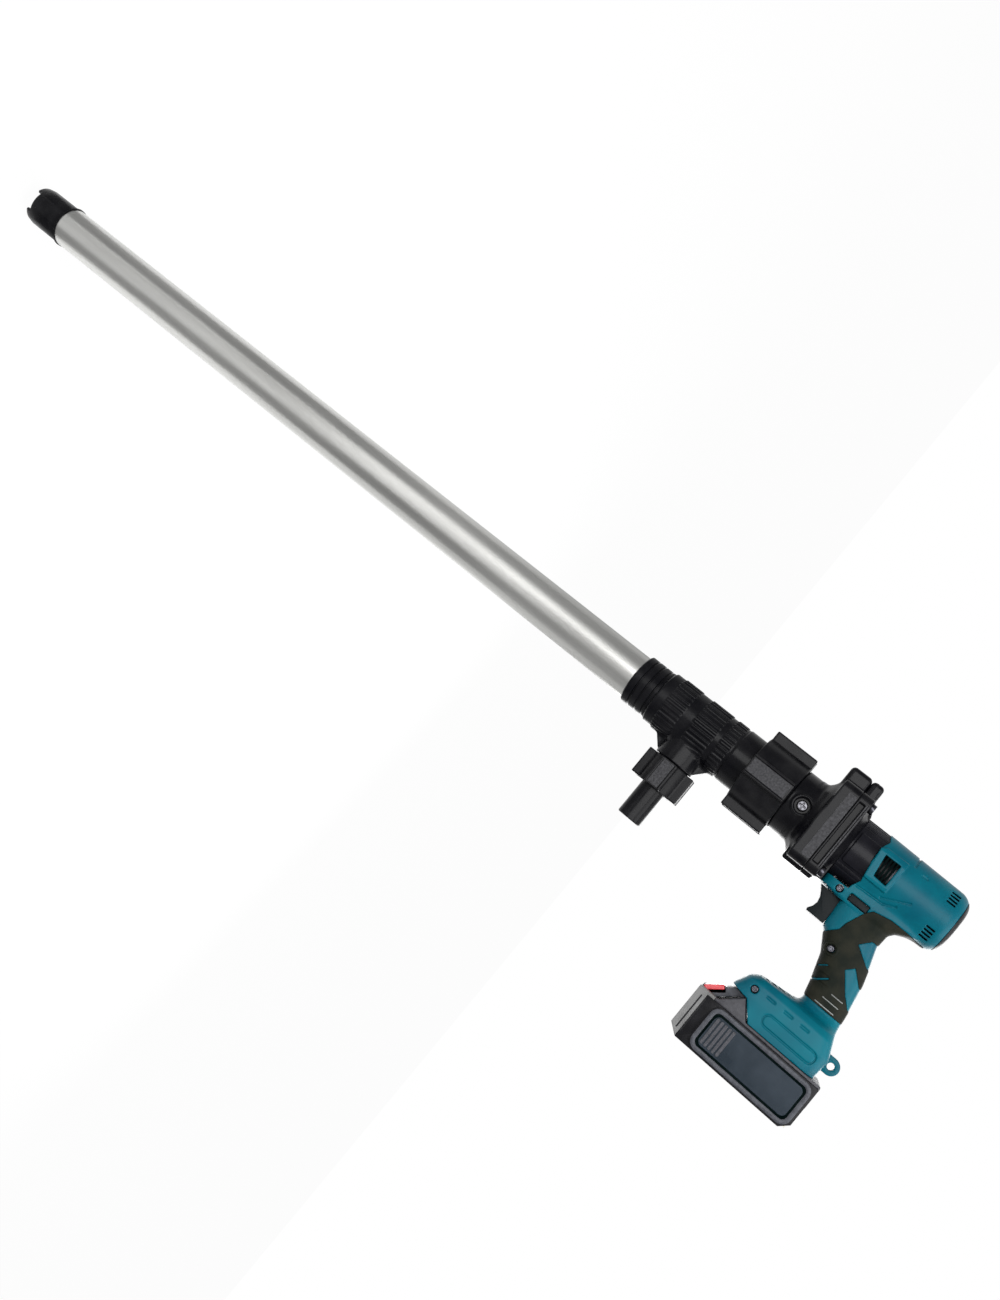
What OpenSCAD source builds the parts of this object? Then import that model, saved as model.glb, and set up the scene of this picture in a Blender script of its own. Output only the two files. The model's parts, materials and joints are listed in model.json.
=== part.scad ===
// Handheld battery transfer pump. The tube's axis is Z, the intake foot stands at the origin,
// and the handle, the outlet and the battery point along +X. The left side is -Y.

/* [Tube and shaft] */
// Outer diameter of the tube
tube_od = 40; // [38:0.5:41]
// Wall of the tube
tube_wall = 1.5; // [1:0.1:2]
// Length of tube that shows between the intake cap and the collar
tube_free = 734; // [400:2:1000]
// Length of tube held in the pump head
tube_seat = 12; // [8:1:14]
// Diameter of the drive shaft
shaft_d = 8; // [6:0.5:9]
// Number of guides that steady the shaft in the tube
guide_count = 3; // [1:1:5]
// Length of a shaft guide
guide_len = 10; // [6:1:16]

/* [Intake] */
// Length of the intake cap
cap_len = 44; // [40:1:56]
// Wall of the intake cap
cap_wall = 2.4; // [2:0.1:3]
// Length of the cap's spigot inside the tube
cap_spigot = 16; // [10:1:24]
// Number of feet round the mouth
foot_count = 3; // [3:1:5]
// Height of a foot
foot_h = 6; // [4:0.5:8]
// Height of the impeller
impeller_h = 14; // [10:1:18]
// Number of impeller blades
blade_count = 4; // [3:1:6]

/* [Pump head] */
// Length of the tube collar
collar_len = 24; // [20:1:30]
// Wall of the collar over the tube
collar_wall = 2.6; // [2.4:0.1:3.2]
// Length of the pump head from the collar to the union nut
head_len = 92; // [88:1:110]
// Wall of the pump head over the tube
head_wall = 5; // [4.6:0.1:6]
// Height of the outlet above the collar
outlet_up = 45; // [42:1:50]
// Distance from the tube's axis to the shoulder of the outlet boss
boss_reach = 37; // [34:1:42]
// Diameter of the outlet boss
boss_d = 36; // [34:1:38]
// Bore of the outlet
outlet_bore = 16; // [12:1:18]
// Outer diameter of the hose tail
tail_od = 22; // [20:0.5:24]
// Length of hose tail that shows
tail_len = 32; // [24:1:50]
// Number of lengthwise ribs round the head
rib_count = 36; // [24:1:48]

/* [Nuts] */
// Length of the outlet nut
outlet_nut_len = 26; // [24:1:32]
// Length of the union nut
union_nut_len = 40; // [34:1:44]
// Number of grip lugs on each nut
lug_count = 4; // [3:1:6]
// Height of the union nut's lugs
union_lug_h = 7.5; // [5:0.5:10]
// Height of the outlet nut's lugs
outlet_lug_h = 5.7; // [4:0.1:7]

/* [Bell housing and flange] */
// Length of the neck between the union nut and the flare
neck_len = 17.6; // [16:0.2:24]
// Length of the flare
flare_len = 9; // [6:1:14]
// Thickness of the bell's flange
plate_t = 16; // [12:1:20]
// Width of the flange across the sides
flange_w = 79; // [74:1:86]
// Reach of the flange's upper ear from the axis
ear_reach = 52.5; // [50:0.5:56]
// Reach of the flange's lower lug from the axis
lug_reach = 41; // [40:0.5:44]
// Length of the clamp flange
clamp_len = 16; // [14:1:20]

/* [Motor] */
// Length of the gear case that shows
case_len = 20; // [18:1:26]
// Diameter of the gear case
case_d = 54.4; // [54:0.2:56]
// Diameter of the motor housing
barrel_d = 55.6; // [55:0.2:58]
// Length of the motor housing
barrel_len = 80; // [78:1:90]
// Wall of the housings
wall = 2.4; // [2:0.1:2.8]
// Diameter of the motor can
can_d = 45.6; // [44:0.2:46]

/* [Handle] */
// Distance from the motor's axis to the battery joint
handle_len = 157.5; // [154:0.5:166]
// Width of the battery foot
foot_w = 68; // [66:1:72]
// Thickness of the rubber overmould
rubber_t = 1.3; // [1:0.1:1.6]
// Travel of the trigger
trigger_travel = 6; // [4:0.5:7]
// Travel of the selector to either side
selector_travel = 3; // [2:0.5:4]

/* [Battery] */
// Length of the battery pack
pack_len = 114.6; // [112:0.2:120]
// Height of the battery pack below the foot
pack_h = 43; // [42:0.5:48]
// Width of the battery pack over its side frames
pack_w = 75; // [74:0.5:78]
// Diameter of a cell
cell_d = 18; // [16:0.5:18]
// Length of a cell
cell_len = 64; // [60:0.5:64.5]
// Number of cells in a row
cell_columns = 5; // [4:1:5]
// Travel of the release button
button_travel = 2.5; // [1.5:0.1:2.5]

/* [Hidden] */

// Clearances and overrun
fit = 0.05;
run = 0.08;
gap = 0.4;
over = 1;
$fn = 64;

// Tube, shaft and intake
tube_r = tube_od / 2;
tube_step = 0.4;
tube_end_r = tube_r - tube_step;
bore_r = tube_r - tube_wall;
shaft_r = shaft_d / 2;
cap_nose = 1.6;
notch_half = 1.19 * tube_r;
hub_r = 7.6;
hub_z = 5;
hub_h = 10;
arm_w = 3;
arm_h = 5;
bush_wall = 2;
impeller_z = hub_z + hub_h + gap;
impeller_hub_r = 6.6;
blade_t = 1.6;
blade_tilt = 35;
guide_rim = 1.8;
guide_hub = 2.4;

// Collar and pump head
collar_z = cap_len + tube_free;
head_z = collar_z + collar_len;
collar_r = tube_r + collar_wall;
ring_count = 3;
ring_len = 7;
groove_len = 1.2;
groove_t = 0.9;
spigot_len = 9;
spigot_r = tube_r + 0.9 * collar_wall;
seal_t = 2.2;
seat_z = head_z + spigot_len + seal_t + gap;
tube_top = seat_z + tube_seat;
head_r = tube_r + head_wall;
rib_h = 0.8;
rib_share = 0.5;
band_shares = [[0.11, 0.31], [0.415, 0.66], [0.71, 0.83]];
chamber_r = 0.8 * tube_r;
chamber_len = 36;
wall_t = 5;
outlet_z = head_z + outlet_up;
seal_z = tube_top + chamber_len + wall_t;
seal_h = 8;
seal_r = 11;
bearing_r = 13;
bearing_w = 9;
bearing_z = seal_z + seal_h + fit;
chamfer = 2;
web_t = 8;
web_reach = 9;
web_points = [[boss_d / 2 + web_reach, 0], [boss_d / 2 + web_reach, head_r - rib_h],
    [boss_d / 2, head_r + web_reach]];

// Outlet
outlet_r = outlet_bore / 2;
thread_r = 14.5;
thread_len = 15;
gasket_t = 1.5;
tail_rim_t = 3.6;
lip_t = 3.6;
outlet_nut_wall = 2.5;
outlet_nut_r = thread_r + outlet_nut_wall;
tail_r = tail_od / 2;
tail_x = boss_reach + thread_len + gasket_t;
outlet_nut_x = boss_reach + gap;
tail_end = outlet_nut_x + outlet_nut_len + tail_len;
tail_face = tail_end - tail_len + gap;
outlet_lug_w = 15;

// Union nut and bell neck
head_end = head_z + head_len;
union_gap = 3;
union_z = head_end + union_gap;
union_top = union_z + union_nut_len;
union_lip = 4;
rim_t = 4;
rim_z = union_z + union_lip + gap;
rim_top = rim_z + rim_t;
rim_out = 2.2;
rim_r = head_r + rim_out;
bell_z = rim_top + gasket_t;
neck_out = 1;
neck_r = rim_r + neck_out;
union_wall = 1.9;
union_r = neck_r + union_wall;
union_lug_w = 18;
neck_z = union_top + gap;
flare_z = neck_z + neck_len;
plate_z = flare_z + flare_len;
joint_z = plate_z + plate_t;
bell_bore = 20;
seal_land = 3.4;
spigot_bore = rim_r - seal_land;
recess_r = 6.9;
recess_t = 4;
recess_up = 5.6;
bell_screw_z = neck_z + recess_r + recess_up;
screw_head_r = 4.6;
screw_head_t = 2.6;
screw_r = 2.5;

// Flange outline: half width, half height of the middle block, corner radius, ear and lug
flange_half = flange_w / 2;
block_half = 38;
corner_r = 7;
ear_half = 15;
lug_half = 21;
bolt_off = 31;
bolt_r = 2.5;
bolt_head_r = 4.4;
bolt_head_t = 3.6;
bolt_len = 22;
slot_share = [0.12, 0.46];
slot_deep = 3;
slot_half = 29;
clamp_plate = 11;

// Coupling between the pump shaft and the motor shaft
jaw_r = 15;
jaw_h = 8;
coupling_hub = 13;
spider_up = 6;
spider_z = flare_z + spider_up;
shaft_top = spider_z - gap;
jaw_count = 3;
jaw_arc = 38;
spider_hub = 6;

// Gear case, motor and fan
case_z = joint_z + clamp_len;
case_r = case_d / 2;
shell_z = case_z + case_len;
barrel_r = barrel_d / 2;
shell_r = barrel_r - wall;
case_spigot_r = 21.8;
case_spigot = 12;
case_rear_r = shell_r - gap;
case_bore = 17;
case_rear = 18;
bearing_seat_r = 11;
front_bearing_in = 12;
front_bearing_z = shell_z - front_bearing_in;
front_bearing_w = 7;
fan_up = 5;
fan_z = shell_z + fan_up;
fan_h = 10;
fan_r = 21;
fan_blades = 9;
fan_blade_t = 1.2;
can_r = can_d / 2;
can_wall = 1.6;
can_z = shell_z + case_rear + fit;
can_len = 43;
magnet_t = 2.8;
magnet_up = 6;
magnet_z = can_z + magnet_up;
magnet_len = 28;
magnet_arc = 140;
air_gap = 0.9;
core_r = can_r - can_wall - magnet_t - air_gap;
core_up = 8;
core_z = can_z + core_up;
core_len = 24;
core_slots = 10;
slot_w = 2;
winding_t = 4;
commutator_r = 8;
commutator_z = core_z + core_len + winding_t + fit;
commutator_len = 7;
end_plate_z = can_z + can_len + fit;
brush_plate_t = 3.6;
brush_w = 5;
brush_len = 9;
rear_bearing_z = end_plate_z + brush_plate_t;
rear_bearing_w = 5;
rear_seat_r = 9;
rear_z = shell_z + barrel_len;
rear_round = 12;
rear_taper = 1.2;
saddle_in = 8;

// Side panels with the vent window on the motor housing
pad_out = 0.9;
pad_z = 3;
pad_len = 23;
pad_half = 15;
pad_shift = -1.3;
window_z = 6.2;
window_len = 14.4;
window_half = 10;
slat_count = 5;
slat_t = 1.2;
grille_t = 1.8;
vent_count = 4;
vent_z = 61;
vent_len = 8;
vent_w = 1.3;
vent_pitch = 2.8;
vent_x = 16.5;

// Handle outline: share of handle_len along X, front and rear as shares of barrel_len from
// the housing's front edge along Z, half width as a share of half the foot, squareness
handle_shares = [
    [0.090, -0.250, 0.750, 0.54, 5],
    [0.159, -0.250, 0.800, 0.57, 5],
    [0.181, -0.250, 0.690, 0.57, 5],
    [0.203, -0.250, 0.606, 0.56, 5],
    [0.231, -0.250, 0.566, 0.54, 4],
    [0.233, 0.006, 0.564, 0.53, 3.6],
    [0.305, 0.006, 0.556, 0.506, 3],
    [0.381, 0.010, 0.606, 0.494, 2.8],
    [0.406, 0.069, 0.623, 0.494, 2.8],
    [0.502, 0.185, 0.679, 0.500, 2.8],
    [0.641, 0.273, 0.729, 0.500, 2.8],
    [0.725, 0.313, 0.750, 0.515, 3],
    [0.753, 0.295, 0.758, 0.588, 3.4],
    [0.768, 0.175, 0.763, 0.735, 4],
    [0.777, -0.100, 0.766, 0.880, 5],
    [0.812, -0.200, 0.794, 0.980, 6],
    [0.889, -0.275, 0.863, 1.000, 6],
    [1.000, -0.275, 0.845, 1.000, 6]];
loft_sides = 28;
foot_share = 0.7;
// Rubber overmould and its two windows, as shares along Z of barrel_len and along X of handle_len
rubber_shares = [[0.34, 0.205], [0.26, 0.27], [0.235, 0.36], [0.05, 0.40], [0.05, 0.705],
    [0.95, 0.705], [0.95, 0.30], [0.62, 0.30], [0.66, 0.20], [0.80, 0.165], [0.50, 0.165]];
window_a_shares = [[0.43, 0.305], [0.95, 0.275], [0.95, 0.41], [0.60, 0.37]];
window_b_shares = [[0.46, 0.475], [0.56, 0.435], [0.95, 0.53], [0.95, 0.62], [0.66, 0.585]];
// Lower front edge of the foot, over the battery's hump
chin_shares = [[-0.32, 0.893], [-0.085, 0.908], [0.072, 1.001], [0.072, 1.1], [-0.32, 1.1]];

// Rear bumper: a strip let into the middle of the housing's rear end
bumper_half = 11;
bumper_t = 1.4;
bumper_start = 66;

// Trigger, switch and selector
trigger_x = handle_len * 0.233 + gap;
trigger_h = 23.6;
trigger_half = 8.5;
trigger_shares = [[-0.90, 0], [-0.76, 0.16], [-0.62, 0.36], [-0.57, 0.56], [-0.62, 0.76],
    [-0.74, 0.92], [-0.72, 1], [0.1, 1], [0.1, 0]];
trigger_deep = 20;
stem_r = 3;
stem_end = 14;
switch_z = 10;
switch_len = 28;
switch_half = 9.5;
switch_share = 0.94;
selector_z = 4.6;
selector_len = 16.8;
selector_x = 28.8;
selector_h = 5.8;
selector_sink = 1;
selector_half = 0.56 * foot_w / 2 + selector_travel - selector_sink;

// Housing screws: shares of barrel_len along Z, of handle_len along X and of half the foot's width
screw_shares = [[-0.063, 0.201, 0.54], [0.231, 0.459, 0.49], [-0.08, 0.85, 0.98]];
pan_r = 3.2;
pan_t = 2.2;
pan_sink = 3.5;
shank_r = 1.7;
shank_len = 24;
post_r = 4.4;

// Lanyard loop at the back of the foot
loop_r = 7.2;
loop_bore = 3;
loop_w = 8;
loop_z = shell_z + 0.916 * barrel_len;
loop_x = 0.904 * handle_len;
loop_root = 11;
root_flange = 2.5;

// Battery dock in the foot and the shoe that slides into it
dock_up = 6;
dock_z = shell_z + dock_up;
dock_len = 56;
dock_half = 27.5;
dock_plate = 6;
rail_t = 5;
rail_flange = 4;
rail_lip = 3.4;
dock_deep = 14.5;
dock_x = handle_len - dock_deep;
channel_x = dock_x + dock_plate;
blade_pitch = 13;
blade_ys = [-blade_pitch, 0, blade_pitch];
dock_blade_t = 0.8;
blade_up = 24;
dock_blade_z = dock_z + blade_up;
dock_blade_len = 14;
dock_blade_h = 4;
board_t = 1.6;
board_inset = 6;
shoe_len = 54;

// Battery pack
pack_x = handle_len + gap;
pack_front = 39.6;
pack_z = shell_z - pack_front;
pack_end = pack_z + pack_len;
pack_bottom = pack_x + pack_h;
frame_t = 3;
pack_half = pack_w / 2 - frame_t;
cover_t = 2.4;
front_t = 8.9;
shelf_len = 14.9;
tray_wall = 1.5;
tray_x = pack_x + cover_t + fit;
tray_z = pack_z + front_t + fit;
frame_front = 17.8;
frame_z = pack_z + frame_front;
frame_back = 1.4;
frame_end = pack_end - frame_back;
frame_round = 9;
panel_inset = 4.2;
panel_t = 1.6;
panel_round = 6;
panel_ribs = 5;
panel_rib_h = 0.5;
edge_cut = 7;
tab_t = 2;
tab_half = 12;
tab_h = 19;
// Hump before the foot, as shares of barrel_len along Z and of hump_h below its peak
hump_shares = [[-0.305, 1.12], [-0.0925, 0], [0.0625, 1.12]];
hump_h = 14.4;
latch_half = 20;
cell_gap = 1;
cell_pitch = cell_d + cell_gap;
cell_in = 5.8;
cell_z = tray_z + cell_in + cell_d / 2;
cell_up = 0.6;
cell_x = tray_x + cell_up + cell_d / 2;
holder_t = 3;
holder_y = 22;
clip_t = 0.3;
clip_off = 1;
slot_half_w = 1.6;

// Front slope of the battery, where the release button lies: start, rise, run
slope_run = 17.2;
slope_rise = 14.1;
slope_a = atan2(slope_rise, slope_run);
slope_in = 2.5;
slope_x = pack_x + slope_in;
slope_shelf = 11;
slope_drop = 2;
button_from = 3;
button_to = 19.5;
button_deep = 3;
button_out = 1.5;
button_half = 11;
spring_wire = 0.5;
latch_spring_r = 1.5;
latch_spring_len = 6.4;
latch_spring_up = 6;
latch_spring_z = pack_z + latch_spring_up;
trigger_spring_r = 4.2;
spring_turns = 6;

// A solid cylinder that starts at height z
module rod(z, h, r) {
    translate([0, 0, z]) cylinder(h = h, r = r);
}

// A ring of length h between two radii
module ring(h, ro, ri) {
    difference() {
        cylinder(h = h, r = ro);
        rod(-over, h + 2 * over, ri);
    }
}

// A plate in the XZ plane, given as points of (Z, X), with half thickness y
module side_plate(pts, y0, y1) {
    translate([0, y1, 0]) rotate([90, 0, 0]) linear_extrude(y1 - y0)
        polygon([for (p = pts) [p[1], p[0]]]);
}

// A block between two corners
module block(lo, hi) {
    translate(lo) cube(hi - lo);
}

// A rectangle with rounded corners between two corners, drawn in the plane
module rounded(lo, hi, r) {
    for (e = [0, r]) translate(lo + [e, r - e]) square(hi - lo - 2 * [e, r - e]);
    for (x = [lo[0] + r, hi[0] - r], y = [lo[1] + r, hi[1] - r]) translate([x, y]) circle(r);
}

// A sealed ball bearing with a groove in each face
module bearing(ri, ro, w) {
    mid = (ri + ro) / 2;
    half = (ro - ri) / 5;
    sink = w / 12;
    rotate_extrude() polygon([[ri, 0], [mid - half, 0], [mid - half, sink], [mid + half, sink],
        [mid + half, 0], [ro, 0], [ro, w], [mid + half, w], [mid + half, w - sink],
        [mid - half, w - sink], [mid - half, w], [ri, w]]);
}

// A nut with grip lugs round a bored barrel, and an inward lip at its start
module lug_nut(h, r, lug_h, lug_w, bore, lip_bore, lip_h) {
    difference() {
        union() {
            cylinder(h = h, r = r);
            for (i = [0:lug_count - 1]) rotate(i * 360 / lug_count)
                translate([0, -lug_w / 2, 0]) cube([r + lug_h, lug_w, h]);
        }
        rod(-over, h + 2 * over, lip_bore);
        rod(lip_h, h, bore);
    }
}

// A wire coil along Z: one closed tube of six sides, eight rings to a turn
module coil(r, wire, len, turns) {
    n = 8 * turns;
    pitch = (len - wire) / turns;
    pts = [for (i = [0:n]) let (a = 45 * i) for (k = [0:5]) let (q = 60 * k)
        [(r + wire / 2 * cos(q)) * cos(a), (r + wire / 2 * cos(q)) * sin(a),
            wire / 2 + pitch * a / 360 + wire / 2 * sin(q)]];
    sides = [for (i = [0:n - 1], k = [0:5]) let (a = 6 * i + k, b = 6 * i + (k + 1) % 6)
        each [[a, a + 6, b], [b, a + 6, b + 6]]];
    ends = [for (k = [1:4]) each [[0, k, k + 1], [6 * n, 6 * n + k + 1, 6 * n + k]]];
    polyhedron(pts, concat(sides, ends));
}

// Signed power, for rounded rectangles of any squareness
function bend(c, n) = sign(c) * pow(abs(c), 2 / n);

// Point k of the handle's ring i, drawn in by t on all sides
function ring_point(row, t, k) = let (a = 360 * k / loft_sides,
    front = (t > 2 * rubber_t ? max(row[1], 0) : row[1]) * barrel_len + t,
    rear = row[2] * barrel_len - t, half = row[3] * foot_w / 2 - t)
    [row[0] * handle_len + (t > 2 * rubber_t && row[0] > foot_share ? wall : 0),
        half * bend(sin(a), row[4]),
        shell_z + (front + rear) / 2 + (rear - front) / 2 * bend(cos(a), row[4])];

// The handle and foot as one closed loft of rings along X, drawn in by t
module handle_loft(t) {
    m = len(handle_shares);
    n = loft_sides;
    pts = [for (row = handle_shares, k = [0:n - 1]) ring_point(row, t, k)];
    sides = [for (i = [0:m - 2], k = [0:n - 1]) let (a = n * i + k, b = n * i + (k + 1) % n)
        each [[a, b, a + n], [b, b + n, a + n]]];
    end = n * (m - 1);
    caps = [for (k = [1:n - 2]) each [[0, k + 1, k], [end, end + k, end + k + 1]]];
    polyhedron(pts, concat(sides, caps));
}

// Outline points given as shares of the barrel's length and the handle's length, as (Z, X)
function along(shares) = [for (s = shares) [shell_z + s[0] * barrel_len, s[1] * handle_len]];

// The zone of the rubber overmould, with its windows left out, between two Y planes
module rubber_zone(y0, y1) {
    difference() {
        side_plate(along(rubber_shares), y0, y1);
        side_plate(along(window_a_shares), y0 - over, y1 + over);
        side_plate(along(window_b_shares), y0 - over, y1 + over);
    }
}

// The motor housing's barrel, drawn in by t
module barrel(t) {
    r = barrel_r - t;
    q = rear_round - t;
    z0 = shell_z - (t > 0 ? over : 0);
    z1 = rear_z - rear_round;
    rotate_extrude() {
        polygon([[0, z0], [r, z0], [r - rear_taper, z1], [0, z1]]);
        translate([0, shell_z]) square([r - rear_taper - q, barrel_len - t]);
        translate([r - rear_taper - q, z1]) intersection() {
            circle(q);
            square(q);
        }
    }
}

// The intake cap: mouth with feet, spider with the bush's hub, and a spigot inside the tube
module intake_cap() {
    color("#1b1b1c") difference() {
        union() {
            rotate_extrude() polygon([[bore_r - cap_wall, 0], [tube_r - cap_nose, 0],
                [tube_end_r, cap_nose * 4], [tube_end_r, cap_len], [bore_r - fit, cap_len],
                [bore_r - fit, cap_len + cap_spigot], [bore_r - cap_wall, cap_len + cap_spigot]]);
            rod(hub_z, hub_h, hub_r);
            for (i = [0:foot_count - 1]) rotate(i * 360 / foot_count + 30)
                translate([0, -arm_w / 2, hub_z + hub_h - arm_h])
                    cube([bore_r - cap_wall + fit, arm_w, arm_h]);
        }
        rod(hub_z - over, hub_h + 2 * over, shaft_r + bush_wall + fit);
        for (i = [0:foot_count - 1]) rotate(i * 360 / foot_count - 82)
            translate([hub_r + over, 0, -over]) linear_extrude(foot_h + over)
                polygon([[0, -hub_r / 2], [tube_r, -notch_half], [tube_r, notch_half], [0, hub_r / 2]]);
    }
}

module lower_bush() {
    color("#d8d2c0") translate([0, 0, hub_z]) ring(hub_h, shaft_r + bush_wall, shaft_r + run);
}

module impeller() {
    r = bore_r - cap_wall - gap;
    color("#c9c9c4") translate([0, 0, impeller_z]) {
        ring(impeller_h, impeller_hub_r, shaft_r + fit);
        for (i = [0:blade_count - 1]) rotate(i * 360 / blade_count) intersection() {
            ring(impeller_h, r, impeller_hub_r - fit);
            translate([0, 0, impeller_h / 2]) rotate([blade_tilt, 0, 0])
                translate([0, -blade_t / 2, -impeller_h]) cube([tube_r, blade_t, 2 * impeller_h]);
        }
    }
}

// The suction tube, turned down a little where the collar and the head take it
module outer_tube() {
    color("#b9bab8") translate([0, 0, cap_len]) {
        ring(tube_free, tube_r, bore_r);
        ring(tube_top - cap_len, tube_end_r, bore_r);
    }
}

module shaft_guides() {
    color("#e2e0da") for (i = [1:guide_count])
        translate([0, 0, cap_len + i * tube_free / (guide_count + 1)]) {
            ring(guide_len, bore_r - fit, bore_r - guide_rim);
            difference() {
                union() {
                    cylinder(h = guide_len, r = shaft_r + guide_hub);
                    for (k = [0:2]) rotate(120 * k) translate([0, -guide_rim / 2, 0])
                        cube([bore_r - guide_rim / 2, guide_rim, guide_len]);
                }
                rod(-over, guide_len + 2 * over, shaft_r + run);
            }
        }
}

module drive_shaft() {
    z0 = hub_z + gap;
    color("#c7c9cb") rod(z0, shaft_top - z0, shaft_r);
}

module tube_collar() {
    color("#1f1f20") difference() {
        union() {
            rod(collar_z, collar_len, collar_r);
            rod(head_z - over, spigot_len + over, spigot_r);
        }
        rod(collar_z - over, collar_len + spigot_len + 2 * over, tube_end_r + fit);
        for (i = [1:ring_count]) translate([0, 0, collar_z + i * ring_len])
            ring(groove_len, collar_r + over, collar_r - groove_t);
    }
}

module tube_seal() {
    color("#101010") translate([0, 0, head_z + spigot_len + gap / 2 + seal_t / 2])
        rotate_extrude() translate([tube_end_r + fit + seal_t / 2, 0]) circle(r = seal_t / 2);
}

// Lengthwise ribs round the head, as one toothed disc
module rib_band(z0, z1) {
    step = 360 / rib_count;
    translate([0, 0, z0]) linear_extrude(z1 - z0) polygon([for (i = [0:rib_count - 1])
        for (e = [[0, 0], [0.06, 1], [rib_share, 1], [rib_share + 0.06, 0]])
            let (a = (i + e[0] - rib_share / 2) * step, r = head_r - rib_h * (1 - e[1]))
                [r * cos(a), r * sin(a)]]);
}

module pump_head() {
    color("#202021") difference() {
        union() {
            translate([0, 0, head_z]) cylinder(h = chamfer, r1 = head_r - chamfer, r2 = head_r - rib_h);
            rod(head_z + chamfer, rim_top - head_z - chamfer, head_r - rib_h);
            for (b = band_shares) rib_band(head_z + b[0] * head_len, head_z + b[1] * head_len);
            translate([0, 0, head_z + band_shares[2][1] * head_len + chamfer])
                cylinder(h = rim_z - head_z - band_shares[2][1] * head_len, r = head_r);
            rod(rim_z, rim_t, rim_r);
            translate([0, 0, outlet_z]) rotate([0, 90, 0]) {
                cylinder(h = boss_reach, r = boss_d / 2);
                cylinder(h = boss_reach + thread_len, r = thread_r);
            }
            for (s = [-1, 1]) side_plate(concat([[outlet_z, 0]], [for (p = web_points)
                [outlet_z + s * p[0], p[1]]], [[outlet_z, head_r + web_reach]]), -web_t / 2, web_t / 2);
        }
        rod(head_z - over, seat_z - head_z + over, spigot_r + fit);
        rod(seat_z - over, tube_seat + over, tube_end_r + fit);
        rod(tube_top - over, chamber_len + over, chamber_r);
        rod(tube_top, rim_top - tube_top + over, shaft_r + gap);
        rod(seal_z, rim_top - seal_z + over, seal_r + fit);
        rod(bearing_z, rim_top - bearing_z + over, bearing_r + fit);
        translate([0, 0, outlet_z]) rotate([0, 90, 0])
            cylinder(h = boss_reach + thread_len + over, r = outlet_r);
    }
}

module shaft_seal() {
    color("#2b2a2a") translate([0, 0, seal_z + fit]) rotate_extrude() polygon([[shaft_r + run, 0],
        [seal_r, 0], [seal_r, seal_h - fit], [seal_r - bush_wall, seal_h - fit],
        [seal_r - bush_wall, seal_h / 2], [shaft_r + run, seal_h / 2]]);
}

module head_bearing() {
    color("#b4b6b8") translate([0, 0, bearing_z + fit]) bearing(shaft_r + run, bearing_r, bearing_w);
}

module outlet_nut() {
    color("#242425") translate([outlet_nut_x + outlet_nut_len, 0, outlet_z]) rotate([0, -90, 0])
        lug_nut(outlet_nut_len, outlet_nut_r, outlet_lug_h, outlet_lug_w, thread_r + gap,
            tail_r + gap, lip_t);
}

module outlet_gasket() {
    color("#141414") translate([boss_reach + thread_len, 0, outlet_z]) rotate([0, 90, 0])
        ring(gasket_t, thread_r - over, outlet_r);
}

module hose_tail() {
    color("#1c1c1d") translate([tail_x, 0, outlet_z]) rotate([0, 90, 0]) difference() {
        union() {
            cylinder(h = tail_rim_t, r = thread_r);
            cylinder(h = tail_end - tail_x, r = tail_r - tube_step);
            rod(tail_face - tail_x, tail_end - tail_face, tail_r);
        }
        rod(-over, tail_end - tail_x + 2 * over, outlet_r);
    }
}

module union_nut() {
    color("#262627") translate([0, 0, union_z])
        lug_nut(union_nut_len, union_r, union_lug_h, union_lug_w, rim_r + gap,
            head_r + gap, union_lip);
}

module head_gasket() {
    color("#141414") translate([0, 0, rim_top]) ring(gasket_t, rim_r - over, spigot_bore);
}

// Flange outline across the axis: a rounded middle block, an upper ear and a lower lug
module flange_block(z0, h) {
    translate([0, 0, z0]) linear_extrude(h)
        rounded([-block_half, -flange_half], [block_half, flange_half], corner_r);
}

module bell_housing() {
    color("#1d1d1e") difference() {
        union() {
            rod(bell_z, neck_z - bell_z, rim_r);
            rod(neck_z, joint_z - neck_z, neck_r);
            translate([0, 0, flare_z]) cylinder(h = flare_len, r1 = neck_r, r2 = block_half);
            flange_block(plate_z, plate_t);
            side_plate([[flare_z, -neck_r + over], [plate_z, -ear_reach + chamfer],
                [plate_z + chamfer, -ear_reach], [joint_z - chamfer / 2, -ear_reach],
                [joint_z, -ear_reach + chamfer], [joint_z, 0], [flare_z, 0]], -ear_half, ear_half);
            side_plate([[flare_z - chamfer, neck_r - over], [plate_z - chamfer, lug_reach],
                [joint_z, lug_reach], [joint_z, 0], [flare_z, 0]], -lug_half, lug_half);
        }
        rod(bell_z - over, neck_z - bell_z + over, spigot_bore);
        rod(neck_z - over, joint_z - neck_z + 2 * over, bell_bore);
        for (s = [-90, 90]) translate([0, 0, bell_screw_z]) rotate([s, 0, 0]) {
            rod(neck_r - recess_t, recess_t + over, recess_r);
            cylinder(h = neck_r, r = screw_r + fit);
        }
        for (x = [-bolt_off, bolt_off], y = [-bolt_off, bolt_off])
            translate([x, y, joint_z + clamp_plate - bolt_len - gap])
                cylinder(h = bolt_len, r = bolt_r + fit);
    }
}

module bell_screws() {
    color("#c9cacc") for (s = [-90, 90]) translate([0, 0, bell_screw_z]) rotate([s, 0, 0]) difference() {
        union() {
            rod(bell_bore + gap, neck_r - recess_t - bell_bore, screw_r);
            rod(neck_r - recess_t, screw_head_t, screw_head_r);
        }
        translate([0, 0, neck_r - recess_t + screw_head_t / 2])
            cylinder(h = screw_head_t, r = screw_r * 0.9, $fn = 6);
    }
}

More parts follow.
